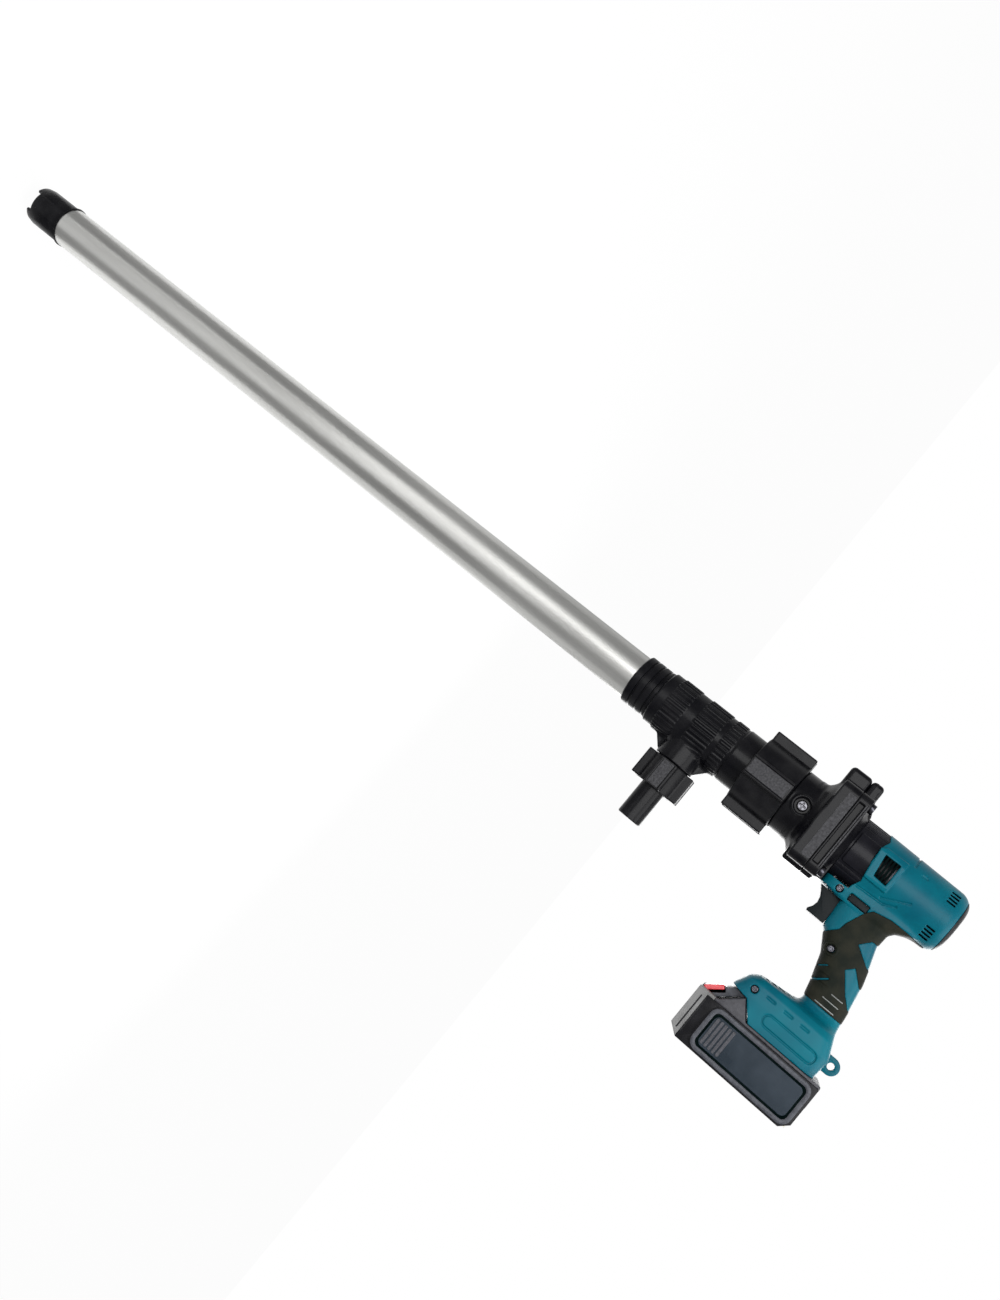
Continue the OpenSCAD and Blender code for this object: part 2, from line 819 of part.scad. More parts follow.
// Jaws of one coupling half
module jaws(h, turn) {
    for (i = [0:jaw_count - 1]) rotate(turn + i * 360 / jaw_count) intersection() {
        ring(h, jaw_r - fit, spider_hub + gap);
        linear_extrude(h) polygon([[0, 0], [jaw_r * 2, -jaw_r * 2 * tan(jaw_arc / 2)],
            [jaw_r * 2, jaw_r * 2 * tan(jaw_arc / 2)]]);
    }
}

module shaft_coupling() {
    color("#a9abad") {
        translate([0, 0, spider_z - coupling_hub]) ring(coupling_hub, jaw_r, shaft_r + fit);
        translate([0, 0, spider_z - gap]) jaws(jaw_h, 0);
    }
}

module coupling_spider() {
    color("#b5402c") translate([0, 0, spider_z]) difference() {
        union() {
            cylinder(h = jaw_h, r = spider_hub);
            for (i = [0:2 * jaw_count - 1]) rotate((i + 0.5) * 180 / jaw_count)
                translate([0, -bush_wall / 2, gap / 2]) cube([jaw_r - over, bush_wall, jaw_h - gap]);
        }
        rod(-over, jaw_h + 2 * over, shaft_r - over);
    }
}

module motor_coupling() {
    color("#a9abad") {
        translate([0, 0, spider_z + jaw_h]) ring(coupling_hub, jaw_r, shaft_r + fit);
        translate([0, 0, spider_z + gap]) jaws(jaw_h, 180 / jaw_count);
    }
}

module clamp_flange() {
    color("#1d1d1e") difference() {
        union() {
            flange_block(joint_z, clamp_plate);
            translate([0, 0, joint_z + clamp_plate])
                cylinder(h = clamp_len - clamp_plate, r1 = block_half, r2 = case_r);
            side_plate([[joint_z, -ear_reach + chamfer], [joint_z + chamfer, -ear_reach],
                [joint_z + clamp_plate - chamfer, -ear_reach], [case_z, -case_r],
                [case_z, 0], [joint_z, 0]], -ear_half, ear_half);
            side_plate([[joint_z, lug_reach], [joint_z + clamp_plate / 2, lug_reach],
                [joint_z + clamp_plate, lug_reach - chamfer * 2], [case_z, lug_reach - chamfer * 3],
                [case_z, 0], [joint_z, 0]], -lug_half, lug_half);
        }
        rod(joint_z - over, clamp_len + 2 * over, case_spigot_r + fit);
        for (s = [0, 1]) mirror([0, s, 0])
            block([-slot_half, flange_half - slot_deep, joint_z + slot_share[0] * clamp_len],
                [slot_half, flange_half + over, joint_z + slot_share[1] * clamp_len]);
        for (x = [-bolt_off, bolt_off], y = [-bolt_off, bolt_off])
            translate([x, y, joint_z - over]) cylinder(h = clamp_plate + 2 * over, r = bolt_r + fit);
    }
}

module flange_bolts() {
    color("#9a9c9e") for (x = [-bolt_off, bolt_off], y = [-bolt_off, bolt_off])
        translate([x, y, joint_z + clamp_plate]) difference() {
            union() {
                rod(-bolt_len + gap, bolt_len - gap, bolt_r);
                cylinder(h = bolt_head_t, r = bolt_head_r);
            }
            translate([0, 0, bolt_head_t / 3]) cylinder(h = bolt_head_t, r = bolt_r, $fn = 6);
        }
}

module gear_case() {
    color("#232325") difference() {
        union() {
            rod(case_z - case_spigot, case_spigot + over, case_spigot_r);
            rod(case_z, case_len - gap, case_r);
            rod(case_z, case_len + case_rear, case_rear_r);
        }
        rod(case_z - case_spigot - over, front_bearing_z - case_z + case_spigot - over, case_bore);
        rod(case_z, case_len + case_rear, shaft_r + bush_wall);
        rod(front_bearing_z, case_len + case_rear, bearing_seat_r + fit);
        rod(front_bearing_z + front_bearing_w + fit, case_len + case_rear, fan_r + over);
        translate([-window_half, -barrel_r, fan_z]) cube([2 * window_half, barrel_d, fan_h]);
    }
}

module front_bearing() {
    color("#b4b6b8") translate([0, 0, front_bearing_z]) bearing(shaft_r + run, bearing_seat_r, front_bearing_w);
}

module motor_shaft() {
    z0 = spider_z + jaw_h + gap;
    color("#c7c9cb") rod(z0, rear_bearing_z + rear_bearing_w + over - z0, shaft_r);
}

module cooling_fan() {
    color("#2f6f4f") translate([0, 0, fan_z]) {
        ring(fan_blade_t, fan_r, shaft_r + fit);
        ring(fan_h, shaft_r + bush_wall, shaft_r + fit);
        for (i = [0:fan_blades - 1]) rotate(i * 360 / fan_blades)
            translate([shaft_r + bush_wall - fit, -fan_blade_t / 2, fan_blade_t - fit])
                cube([fan_r - shaft_r - bush_wall - fan_blade_t, fan_blade_t, fan_h - fan_blade_t]);
    }
}

module motor_can() {
    color("#8d8f92") translate([0, 0, can_z]) {
        ring(can_len, can_r, can_r - can_wall);
        ring(can_wall, can_r, bearing_seat_r);
    }
}

module motor_magnets() {
    r = can_r - can_wall - fit;
    color("#4a4a4e") for (s = [0, 180]) rotate(s) translate([0, 0, magnet_z]) intersection() {
        ring(magnet_len, r, r - magnet_t);
        linear_extrude(magnet_len) polygon([[0, 0], [can_d, can_d / tan(magnet_arc / 2)],
            [0, can_d], [-can_d, can_d / tan(magnet_arc / 2)]]);
    }
}

module armature_core() {
    color("#77797c") translate([0, 0, core_z]) linear_extrude(core_len) difference() {
        circle(core_r);
        circle(shaft_r + fit);
        for (i = [0:core_slots - 1]) rotate(i * 360 / core_slots)
            translate([core_r / 2, -slot_w / 2]) square([core_r, slot_w]);
    }
}

module armature_windings() {
    color("#b46a34") for (z = [core_z - winding_t, core_z + core_len]) translate([0, 0, z])
        ring(winding_t, core_r - bush_wall, shaft_r + bush_wall);
}

module commutator() {
    color("#b5764a") translate([0, 0, commutator_z]) linear_extrude(commutator_len) difference() {
        circle(commutator_r);
        circle(shaft_r + fit);
        for (i = [0:core_slots - 1]) rotate(i * 360 / core_slots)
            translate([commutator_r - blade_t / 2, -blade_t / 4]) square([blade_t, blade_t / 2]);
    }
}

// The motor's end plate with the brush boxes and the rear bearing's seat
module brush_plate() {
    box = brush_w + 2 * blade_t;
    z0 = commutator_z + over;
    color("#d9d4c6") difference() {
        union() {
            rod(end_plate_z, brush_plate_t, can_r);
            rod(end_plate_z, brush_plate_t + rear_bearing_w, rear_seat_r + bush_wall);
            for (s = [0, 180]) rotate(s) translate([-box / 2, commutator_r + over, z0])
                cube([box, brush_len - over, end_plate_z - z0 + over]);
        }
        rod(end_plate_z - over, brush_plate_t + 2 * over, commutator_r + over / 2);
        rod(rear_bearing_z, rear_bearing_w + over, rear_seat_r + fit);
        for (s = [0, 180]) rotate(s) translate([-brush_w / 2 - fit, commutator_r, z0 + blade_t / 2])
            cube([brush_w + 2 * fit, brush_len + over, brush_w + 2 * fit]);
    }
}

module brushes() {
    color("#2c2c2e") for (s = [0, 180]) rotate(s)
        translate([-brush_w / 2, commutator_r + gap, commutator_z + over + blade_t / 2 + fit])
            cube([brush_w, brush_len - 2 * gap, brush_w]);
}

module rear_bearing() {
    color("#b4b6b8") translate([0, 0, rear_bearing_z]) bearing(shaft_r + run, rear_seat_r, rear_bearing_w);
}

// Seat of screw i's head, sunk into the left side
function screw_at(i) = [screw_shares[i][1] * handle_len, pan_sink - screw_shares[i][2] * foot_w / 2,
    shell_z + screw_shares[i][0] * barrel_len];

// One half of the housing, s = -1 for the left and 1 for the right
module housing(s) {
    difference() {
        union() {
            intersection() {
                difference() {
                    union() {
                        barrel(0);
                        translate([-pad_half + pad_shift, -barrel_r - pad_out, shell_z + pad_z])
                            cube([2 * pad_half, barrel_d + 2 * pad_out, pad_len]);
                        difference() {
                            handle_loft(0);
                            rubber_zone(-foot_w, foot_w);
                        }
                        handle_loft(rubber_t + fit);
                    }
                    barrel(wall);
                    handle_loft(2 * rubber_t + fit > wall ? 2 * rubber_t + fit : wall);
                    rod(case_z - over, case_len + over, case_r + gap);
                    translate([0, 0, dock_z]) block([dock_x, -dock_half - fit, 0],
                        [handle_len + over, dock_half + fit, dock_len + fit]);
                    block([channel_x, rail_t - dock_half, case_z],
                        [handle_len + over, dock_half - rail_t, dock_z]);
                    side_plate(along(chin_shares), -foot_w, foot_w);
                    block([trigger_x - gap, -trigger_half - gap, case_z],
                        [trigger_x + trigger_h + gap, trigger_half + gap, shell_z + switch_z]);
                    block([selector_x - gap, -foot_w, shell_z + selector_z - gap],
                        [selector_x + selector_h + gap, foot_w, shell_z + selector_z + selector_len + gap]);
                    translate([-window_half + pad_shift, -foot_w, shell_z + window_z])
                        cube([2 * window_half, 2 * foot_w, window_len]);
                    for (s = [-1, 1], i = [0:vent_count - 1]) translate([s * vent_x
                        + (i - (vent_count - 1) / 2) * vent_pitch - vent_w / 2, -foot_w, shell_z + vent_z])
                            cube([vent_w, 2 * foot_w, vent_len]);
                    block([loop_x - loop_r - fit, -loop_w / 2 - fit, loop_z - loop_root],
                        [loop_x + loop_r + fit, loop_w / 2 + fit, loop_z + over]);
                    rear_band(bumper_t + fit, fit);
                }
                translate([-handle_len, s > 0 ? 0 : -foot_w, 0]) cube([3 * handle_len, foot_w, 2 * rear_z]);
            }
            intersection() {
                translate([screw_at(1)[0], 0, screw_at(1)[2]]) rotate([-s * 90, 0, 0])
                    cylinder(h = foot_w / 2, r = post_r);
                handle_loft(rubber_t + fit);
            }
            for (z = [can_z + saddle_in, can_z + can_len - saddle_in]) intersection() {
                translate([0, 0, z]) ring(wall, shell_r + wall / 2, can_r + fit);
                translate([-handle_len, s > 0 ? 0 : -foot_w, 0]) cube([2 * handle_len, foot_w, 2 * rear_z]);
            }
        }
        for (i = [0:len(screw_shares) - 1]) translate(screw_at(i)) rotate([90, 0, 0]) {
                rod(-shank_len + pan_t, shank_len, shank_r + fit);
                cylinder(h = foot_w, r = pan_r + fit);
            }
    }
}

// The rear bumper's strip of the barrel's skin, t thick, in a band grown by g
module rear_band(t, g) {
    intersection() {
        difference() {
            barrel(0);
            barrel(t);
        }
        translate([-barrel_d, -bumper_half - g, shell_z + bumper_start - g])
            cube([2 * barrel_d, 2 * (bumper_half + g), barrel_len]);
    }
}

module housing_left() {
    color("#0d7580") housing(-1);
}

module housing_right() {
    color("#0d7580") housing(1);
}

module rear_bumper() {
    color("#161617") rear_band(bumper_t, 0);
}

// One half of the rubber overmould
module grip_rubber(s) {
    intersection() {
        difference() {
            handle_loft(0);
            handle_loft(rubber_t);
            barrel(0);
            translate([screw_at(1)[0], 0, screw_at(1)[2]]) rotate([90, 0, 0])
                cylinder(h = foot_w, r = pan_r + fit);
        }
        rubber_zone(s > 0 ? 0 : -foot_w, s > 0 ? foot_w : 0);
    }
}

module grip_rubber_left() {
    color("#2a2725") grip_rubber(-1);
}

module grip_rubber_right() {
    color("#2a2725") grip_rubber(1);
}

module vent_grilles() {
    y = barrel_r + pad_out - over;
    color("#15181a") for (s = [-1, 1]) difference() {
        translate([pad_shift, s * (y - grille_t / 2), shell_z + window_z + window_len / 2])
            cube([2 * (window_half - fit), grille_t, window_len - 2 * fit], center = true);
        for (i = [0:slat_count - 1])
            translate([pad_shift, s * y, shell_z + window_z + (i + 0.5) * window_len / slat_count])
                cube([2 * (window_half - slat_t), grille_t * 4, slat_t], center = true);
    }
}

module housing_screws() {
    color("#8f9194") for (i = [0:len(screw_shares) - 1])
        translate(screw_at(i)) rotate([90, 0, 0]) difference() {
            union() {
                rod(-shank_len + pan_t + over, shank_len - over, shank_r);
                cylinder(h = pan_t, r = pan_r);
            }
            for (a = [0, 90]) rotate(a) translate([-pan_r / 2, -pan_t / 8, pan_t / 2])
                cube([pan_r, pan_t / 4, pan_t]);
        }
}

module trigger() {
    color("#2f3032") {
        side_plate([for (p = trigger_shares) [shell_z + p[0] * trigger_deep, trigger_x + p[1] * trigger_h]],
            -trigger_half, trigger_half);
        translate([trigger_x + trigger_h / 2, 0, shell_z + trigger_deep * 0.1 - over])
            cylinder(h = stem_end - trigger_deep * 0.1 + over, r = stem_r);
    }
}

module trigger_spring() {
    z0 = shell_z + trigger_deep * 0.1 + gap / 2;
    color("#b9bbbd") translate([trigger_x + trigger_h / 2, 0, z0])
        coil(trigger_spring_r, spring_wire * 1.6, shell_z + switch_z - gap / 2 - z0, spring_turns - 1);
}

module switch_box() {
    color("#1a1b1c") difference() {
        block([trigger_x, -switch_half, shell_z + switch_z],
            [trigger_x + trigger_h * switch_share, switch_half, shell_z + switch_z + switch_len]);
        translate([trigger_x + trigger_h / 2, 0, shell_z + switch_z - over])
            cylinder(h = stem_end + trigger_travel - switch_z + gap + over, r = stem_r + gap);
    }
}

module selector() {
    color("#202124") block([selector_x, -selector_half, shell_z + selector_z],
        [selector_x + selector_h, selector_half, shell_z + selector_z + selector_len]);
}

module lanyard_loop() {
    color("#0d7580") difference() {
        union() {
            translate([loop_x, loop_w / 2, loop_z]) rotate([90, 0, 0]) cylinder(h = loop_w, r = loop_r);
            block([loop_x - loop_r, -loop_w / 2, loop_z - loop_root],
                [loop_x + loop_r, loop_w / 2, loop_z]);
            block([loop_x - loop_r + chamfer, -loop_w / 2 - root_flange, loop_z - loop_root],
                [loop_x + loop_r, loop_w / 2 + root_flange, loop_z - loop_root + root_flange / 2]);
        }
        translate([loop_x, loop_w, loop_z]) rotate([90, 0, 0]) cylinder(h = 2 * loop_w, r = loop_bore);
    }
}

module control_board() {
    color("#1f5a35") block([dock_x - board_t, -dock_half + board_inset, dock_z + board_inset],
        [dock_x, dock_half - board_inset, dock_z + dock_len - board_inset]);
}

// The dock: a plate across the foot with a flanged rail on each side
module battery_dock() {
    inner = dock_half - rail_t;
    color("#1e1e20") for (s = [0, 1]) mirror([0, s, 0]) {
        block([dock_x, 0, dock_z], [channel_x, dock_half, dock_z + dock_len]);
        block([channel_x - fit, inner, dock_z], [handle_len, dock_half, dock_z + dock_len]);
        block([handle_len - rail_lip, inner - rail_flange, dock_z],
            [handle_len, dock_half, dock_z + dock_len]);
    }
}

module dock_blades() {
    color("#c9a24a") for (y = blade_ys) block([channel_x, y - dock_blade_t / 2, dock_blade_z],
        [channel_x + dock_blade_h, y + dock_blade_t / 2, dock_blade_z + dock_blade_len]);
}

// The cover: a top plate, the shoe that slides into the dock and the hump before the foot
module battery_cover() {
    inner = dock_half - rail_t - gap;
    neck = dock_half - rail_t - rail_flange - gap;
    shoe_z = dock_z + gap;
    head_low = handle_len - rail_lip - gap;
    z0 = pack_z + shelf_len + fit;
    color("#2c2c2e") difference() {
        union() {
            block([pack_x, -pack_half, z0], [pack_x + cover_t, pack_half, pack_end]);
            block([channel_x + gap, -inner, shoe_z], [head_low, inner, shoe_z + shoe_len]);
            block([head_low - fit, -neck, shoe_z], [pack_x + fit, neck, shoe_z + shoe_len]);
            side_plate([for (p = hump_shares) [shell_z + p[0] * barrel_len, pack_x - hump_h * (1 - p[1])]],
                -pack_half, pack_half);
        }
        for (y = blade_ys) block([channel_x, y - slot_half_w, dock_blade_z - over],
            [channel_x + dock_blade_h + gap, y + slot_half_w, shoe_z + shoe_len + over]);
    }
}

// Points of a rectangle on the slope, from s0 to s1 along it and t0 to t1 into the pack, as (Z, X)
function slope_box(s0, s1, t0, t1) = [for (p = [[s0, t0], [s1, t0], [s1, t1], [s0, t1]])
    [pack_z + p[0] * cos(slope_a) + p[1] * sin(slope_a),
        slope_x - p[0] * sin(slope_a) + p[1] * cos(slope_a)]];

// The pack's grey front with the wedge that carries the release button
module battery_front() {
    z1 = pack_z + front_t;
    z2 = pack_z + shelf_len;
    deep = button_deep + button_travel * cos(slope_a) + gap;
    color("#8d8c8b") difference() {
        union() {
            side_plate([[pack_z, slope_x], [pack_z, pack_bottom - edge_cut], [z1 - over, pack_bottom],
                [z1, pack_bottom], [z1, tray_x], [z2, tray_x], [z2, pack_x], [pack_z + over, pack_x]],
                -pack_half, pack_half);
            side_plate([[pack_z, slope_x], [pack_z + slope_run, slope_x - slope_rise],
                [pack_z + slope_run + slope_shelf, slope_x - slope_rise - slope_drop],
                [pack_z + slope_run + slope_shelf, slope_x - slope_rise], [z2, pack_x],
                [z1 - over, slope_x]], -latch_half, latch_half);
        }
        side_plate(slope_box(button_from - button_travel * sin(slope_a) - gap, button_to + gap,
            -button_out - over, deep), -button_half - gap, button_half + gap);
        translate([slope_x, 0, latch_spring_z]) rotate([0, 90, 0])
            cylinder(h = latch_spring_len, r = latch_spring_r + spring_wire + gap / 2);
    }
}

module battery_tray() {
    y = pack_half;
    color("#242426") difference() {
        union() {
            side_plate([[tray_z, tray_x], [tray_z, pack_bottom], [pack_end - edge_cut, pack_bottom],
                [pack_end, pack_bottom - edge_cut], [pack_end, tray_x]], -y, y);
            for (s = [0, 1]) mirror([0, s, 0]) translate([0, y + frame_t, 0]) rotate([90, 0, 0])
                linear_extrude(frame_t + fit)
                    rounded([tray_x, frame_z], [pack_bottom - over, frame_end], frame_round);
            block([tray_x, -tab_half, pack_end - fit], [tray_x + tab_h, tab_half, pack_end + tab_t]);
        }
        block([tray_x - over, -y + tray_wall, tray_z + tray_wall],
            [pack_bottom - tray_wall, y - tray_wall, pack_end - tray_wall]);
        for (s = [0, 1]) mirror([0, s, 0]) translate([0, y + frame_t + over, 0]) rotate([90, 0, 0])
            linear_extrude(panel_t + over) rounded([tray_x + panel_inset, frame_z + panel_inset],
                [pack_bottom - over - panel_inset, frame_end - panel_inset], panel_round);
    }
}

// A side panel in its frame, with short ribs at the front
module battery_side(s) {
    lo = [tray_x + panel_inset + fit, frame_z + panel_inset + fit];
    hi = [pack_bottom - over - panel_inset - fit, frame_end - panel_inset - fit];
    mirror([0, s, 0]) {
        translate([0, pack_half + frame_t - over / 2, 0]) rotate([90, 0, 0])
            linear_extrude(panel_t - over / 2 - fit) rounded(lo, hi, panel_round);
        for (i = [0:panel_ribs - 1]) translate([lo[0] + panel_round / 2,
            pack_half + frame_t - over / 2 - fit, lo[1] + panel_round / 2 + i * panel_inset])
                cube([hi[0] - lo[0] - panel_round, panel_rib_h, panel_inset / 2]);
    }
}

module battery_side_left() {
    color("#3a3d42") battery_side(1);
}

module battery_side_right() {
    color("#3a3d42") battery_side(0);
}

// Places of the cells along X and Z
cell_places = [for (i = [0:cell_columns - 1], k = [0, 1])
    [cell_x + k * cell_pitch, cell_z + i * cell_pitch]];

module battery_cells() {
    color("#3f7fa8") for (c = cell_places) translate([c[0], cell_len / 2, c[1]]) rotate([90, 0, 0])
        cylinder(h = cell_len, r = cell_d / 2);
}

module cell_holders() {
    color("#d7d3c8") for (y = [-holder_y, holder_y]) difference() {
        block([tray_x + gap, y - holder_t / 2, tray_z + tray_wall + gap],
            [pack_bottom - tray_wall - fit, y + holder_t / 2, pack_end - tray_wall - gap]);
        for (c = cell_places) translate([c[0], y + holder_t, c[1]]) rotate([90, 0, 0])
            cylinder(h = 2 * holder_t, r = cell_d / 2 + fit);
    }
}

module battery_contacts() {
    x1 = channel_x + dock_blade_h + gap;
    color("#c9a24a") for (y = blade_ys, s = [-1, 1])
        block([x1 - dock_blade_h / 2, y + s * clip_off - clip_t / 2, dock_blade_z + over],
            [x1, y + s * clip_off + clip_t / 2, dock_blade_z + dock_blade_len - over]);
}

module release_button() {
    color("#c22f2f") side_plate(slope_box(button_from, button_to, -button_out, button_deep),
        -button_half, button_half);
}

module latch_spring() {
    x0 = slope_x + gap + spring_wire;
    color("#b9bbbd") translate([x0, 0, latch_spring_z]) rotate([0, 90, 0])
        coil(latch_spring_r, spring_wire, slope_x + latch_spring_len - x0 - fit, spring_turns - 1);
}

intake_cap();
lower_bush();
impeller();
outer_tube();
shaft_guides();
drive_shaft();
tube_collar();
tube_seal();
pump_head();
shaft_seal();
head_bearing();
outlet_nut();
outlet_gasket();
hose_tail();
union_nut();
head_gasket();
bell_housing();
bell_screws();
shaft_coupling();
coupling_spider();
motor_coupling();
clamp_flange();
flange_bolts();
gear_case();
front_bearing();
motor_shaft();
cooling_fan();
motor_can();
motor_magnets();
armature_core();
armature_windings();
commutator();
brush_plate();
brushes();
rear_bearing();
housing_left();
housing_right();
rear_bumper();
grip_rubber_left();
grip_rubber_right();
vent_grilles();
housing_screws();
trigger();
trigger_spring();
switch_box();
selector();
lanyard_loop();
control_board();
battery_dock();
dock_blades();
battery_cover();
battery_front();
battery_tray();
battery_side_left();
battery_side_right();
battery_cells();
cell_holders();
battery_contacts();
release_button();
latch_spring();
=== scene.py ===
"""Handheld battery transfer pump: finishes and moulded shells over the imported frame.

Shapes are worked out in millimetres and put into their meshes in metres. The tube's axis is Z, the
handle, the battery and the outlet point to +X, and the side with the screws is -Y.
"""
import functools
import json
import math

import bmesh
import bpy
import numpy as np
from mathutils import Matrix, Vector

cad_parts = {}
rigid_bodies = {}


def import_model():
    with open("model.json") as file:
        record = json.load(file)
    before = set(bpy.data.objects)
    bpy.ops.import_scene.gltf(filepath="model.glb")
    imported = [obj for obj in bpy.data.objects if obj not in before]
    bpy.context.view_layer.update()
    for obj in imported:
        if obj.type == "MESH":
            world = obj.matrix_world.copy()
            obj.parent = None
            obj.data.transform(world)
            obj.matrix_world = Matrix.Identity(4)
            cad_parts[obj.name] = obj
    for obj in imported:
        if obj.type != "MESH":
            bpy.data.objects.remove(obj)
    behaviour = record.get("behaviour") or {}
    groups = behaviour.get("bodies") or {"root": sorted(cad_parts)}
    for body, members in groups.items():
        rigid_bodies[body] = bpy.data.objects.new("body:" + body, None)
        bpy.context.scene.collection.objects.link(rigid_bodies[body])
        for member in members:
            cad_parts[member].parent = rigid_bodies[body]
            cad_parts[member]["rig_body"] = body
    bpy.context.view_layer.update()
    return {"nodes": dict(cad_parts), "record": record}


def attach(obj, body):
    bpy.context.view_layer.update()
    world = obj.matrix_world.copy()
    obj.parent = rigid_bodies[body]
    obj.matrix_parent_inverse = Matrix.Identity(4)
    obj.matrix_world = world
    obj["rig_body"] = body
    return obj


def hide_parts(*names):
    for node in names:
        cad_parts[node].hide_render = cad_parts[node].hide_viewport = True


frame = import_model()
NODES = frame["nodes"]
MM = 0.001

# Tube, collar and pump head, along Z
TUBE_R = 20.0
TUBE_BORE = 18.5
CAP_END = 44.0
COLLAR_Z = 778.0
HEAD_Z = 802.0
HEAD_R = 25.0
HEAD_END = 905.4
RIM_R = 27.2
RIM_Z = 901.4
RIB_COUNT = 36
RIB_H = 0.8
RIB_BANDS = ((812.1, 830.5), (840.2, 862.7), (867.3, 878.4))
HEAD_BORES = (  # start, end, radius
    (HEAD_Z - 2, HEAD_Z + 11.6, 22.4), (HEAD_Z, 825.7, 19.65), (824.0, 861.6, 16.0),
    (850.0, HEAD_END + 2, 4.4), (866.6, HEAD_END + 2, 13.05))
OUTLET_Z = 847.0
OUTLET_BORE = 8.0
BOSS_R = 18.0
BOSS_END = 37.0
THREAD_R = 14.5
THREAD_END = 52.0

# Nuts, bell housing and flanges
NUT_Z = (897.0, 937.0)
NUT_R = 30.1
NUT_LUG_R = 37.6
NUT_LUG_HALF = 9.0
OUT_NUT_X = (37.4, 63.4)
OUT_NUT_R = 17.0
OUT_LUG_R = 22.7
OUT_LUG_HALF = 7.5
NECK_R = 28.2
NECK_Z = 937.4
FLARE_Z = 955.0
SPIGOT_Z = 905.9
PLATE_Z = 964.0
JOINT_Z = 980.0
CLAMP_END = 991.0
CASE_Z = 996.0
BLOCK_X = 38.0
BLOCK_Y = 39.5
FACE_Y = 39.0
EAR_X = -52.5
EAR_HALF = 15.0
EAR_Z = 960.5
LUG_X = 41.0
LUG_HALF = 21.0
LUG_Z = (961.5, 989.0)
RAIL_HALF = 30.5
BELL_RAIL_Z = (971.6, 979.6)
CLAMP_RAIL_Z = (987.9, 990.6)
RECESS_Z = 949.9
RECESS_R = 6.9
RECESS_T = 4.0
SLOT_HALF = 29.0
SLOT_Z = (981.9, 987.4)
SLOT_T = 3.0

# Motor housing and handle
SHELL_Z = 1016.0
BARREL_LEN = 80.0
REAR_Z = SHELL_Z + BARREL_LEN
BARREL_R = 27.8
CASE_R = 27.2
CASE_SPIGOT_R = 21.8
CASE_SPIGOT_Z = (984.0, 1034.0)
CASE_BORE = 17.0
REAR_TAPER = 1.2
REAR_ROUND = 12.0
HANDLE_LEN = 157.5
FOOT_HALF = 34.0
WALL = 2.4
RUBBER_T = 1.3
PROUD = 0.35
PLAY = 0.4
VENT_Z = (1077.0, 1085.0)
VENT_X = 16.5
VENT_PITCH = 2.8
VENT_HALF = 0.7

# Battery
PACK_X = 157.9
PACK_END_X = 200.9
PACK_Z = 976.4
PACK_END_Z = 1091.0
PACK_HALF = 34.5
FRAME_HALF = 37.5
FRAME_LO = (994.2, 160.35)
FRAME_HI = (PACK_END_Z - 1.4, PACK_END_X - 1.0)
FRAME_ROUND = 9.0
SLOPE_X = PACK_X + 2.5
SLOPE_TURN = math.atan2(14.1, 17.2)
PRESS_LOW = 1.2
PRESS_HIGH = 19.9

# Light and camera, in metres
AMBIENT = 0.55
CARD_SHADE = 0.36
FLOOR_Z = -0.012
CAMERA_AT = Vector((0.0958, -1.1178, 1.0026))
LOOK = Vector((-0.035117, 0.957679, -0.285688)).normalized()
IMAGE_RIGHT = Vector((-0.640655, 0.197828, 0.741907)).normalized()
FOCAL_PIXELS = 1350.0
FRAME_PIXELS = 1000.0
MIDDLE = Vector((0.03, 0.0, 0.6))


# Meshes

def new_piece(name, verts, faces, body, material, replaces=()):
    """A mesh of points in millimetres, turned outwards, that rides on a body."""
    mesh = bpy.data.meshes.new(name)
    mesh.from_pydata((np.asarray(verts, float) * MM).tolist(), [], [list(f) for f in faces])
    return place(mesh, name, body, material, replaces)


def place(mesh, name, body, material, replaces=()):
    """Puts a mesh into the scene with its faces outwards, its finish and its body."""
    shape = bmesh.new()
    shape.from_mesh(mesh)
    bmesh.ops.recalc_face_normals(shape, faces=shape.faces)
    shape.to_mesh(mesh)
    shape.free()
    mesh.materials.clear()
    mesh.materials.append(material)
    piece = bpy.data.objects.new(name, mesh)
    bpy.context.scene.collection.objects.link(piece)
    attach(piece, body)
    if replaces:
        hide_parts(*replaces)
    return piece


def smooth(piece, angle=180.0):
    """Smooth shading, with edges sharper than the angle left crisp."""
    piece.data.polygons.foreach_set("use_smooth", [True] * len(piece.data.polygons))
    if angle < 180.0:
        piece.data.set_sharp_from_angle(angle=math.radians(angle))
    return piece


def round_edges(piece, width, segments=2, angle=30.0):
    """Rounds every edge that is sharper than the angle, and keeps the flats flat."""
    smooth(piece)
    bevel = piece.modifiers.new("rounded_edges", "BEVEL")
    bevel.width = width * MM
    bevel.segments = segments
    bevel.limit_method = "ANGLE"
    bevel.angle_limit = math.radians(angle)
    bevel.harden_normals = True
    return piece


def ring_faces(rings, sides, closed):
    """Squares between neighbouring rings of points, and from the last ring to the first if closed."""
    a = np.arange(rings if closed else rings - 1)[:, None]
    b = np.arange(sides)[None, :]
    nxt, side = (a + 1) % rings, (b + 1) % sides
    quad = np.stack([a * sides + b, a * sides + side, nxt * sides + side, nxt * sides + b], -1)
    return quad.reshape(-1, 4)


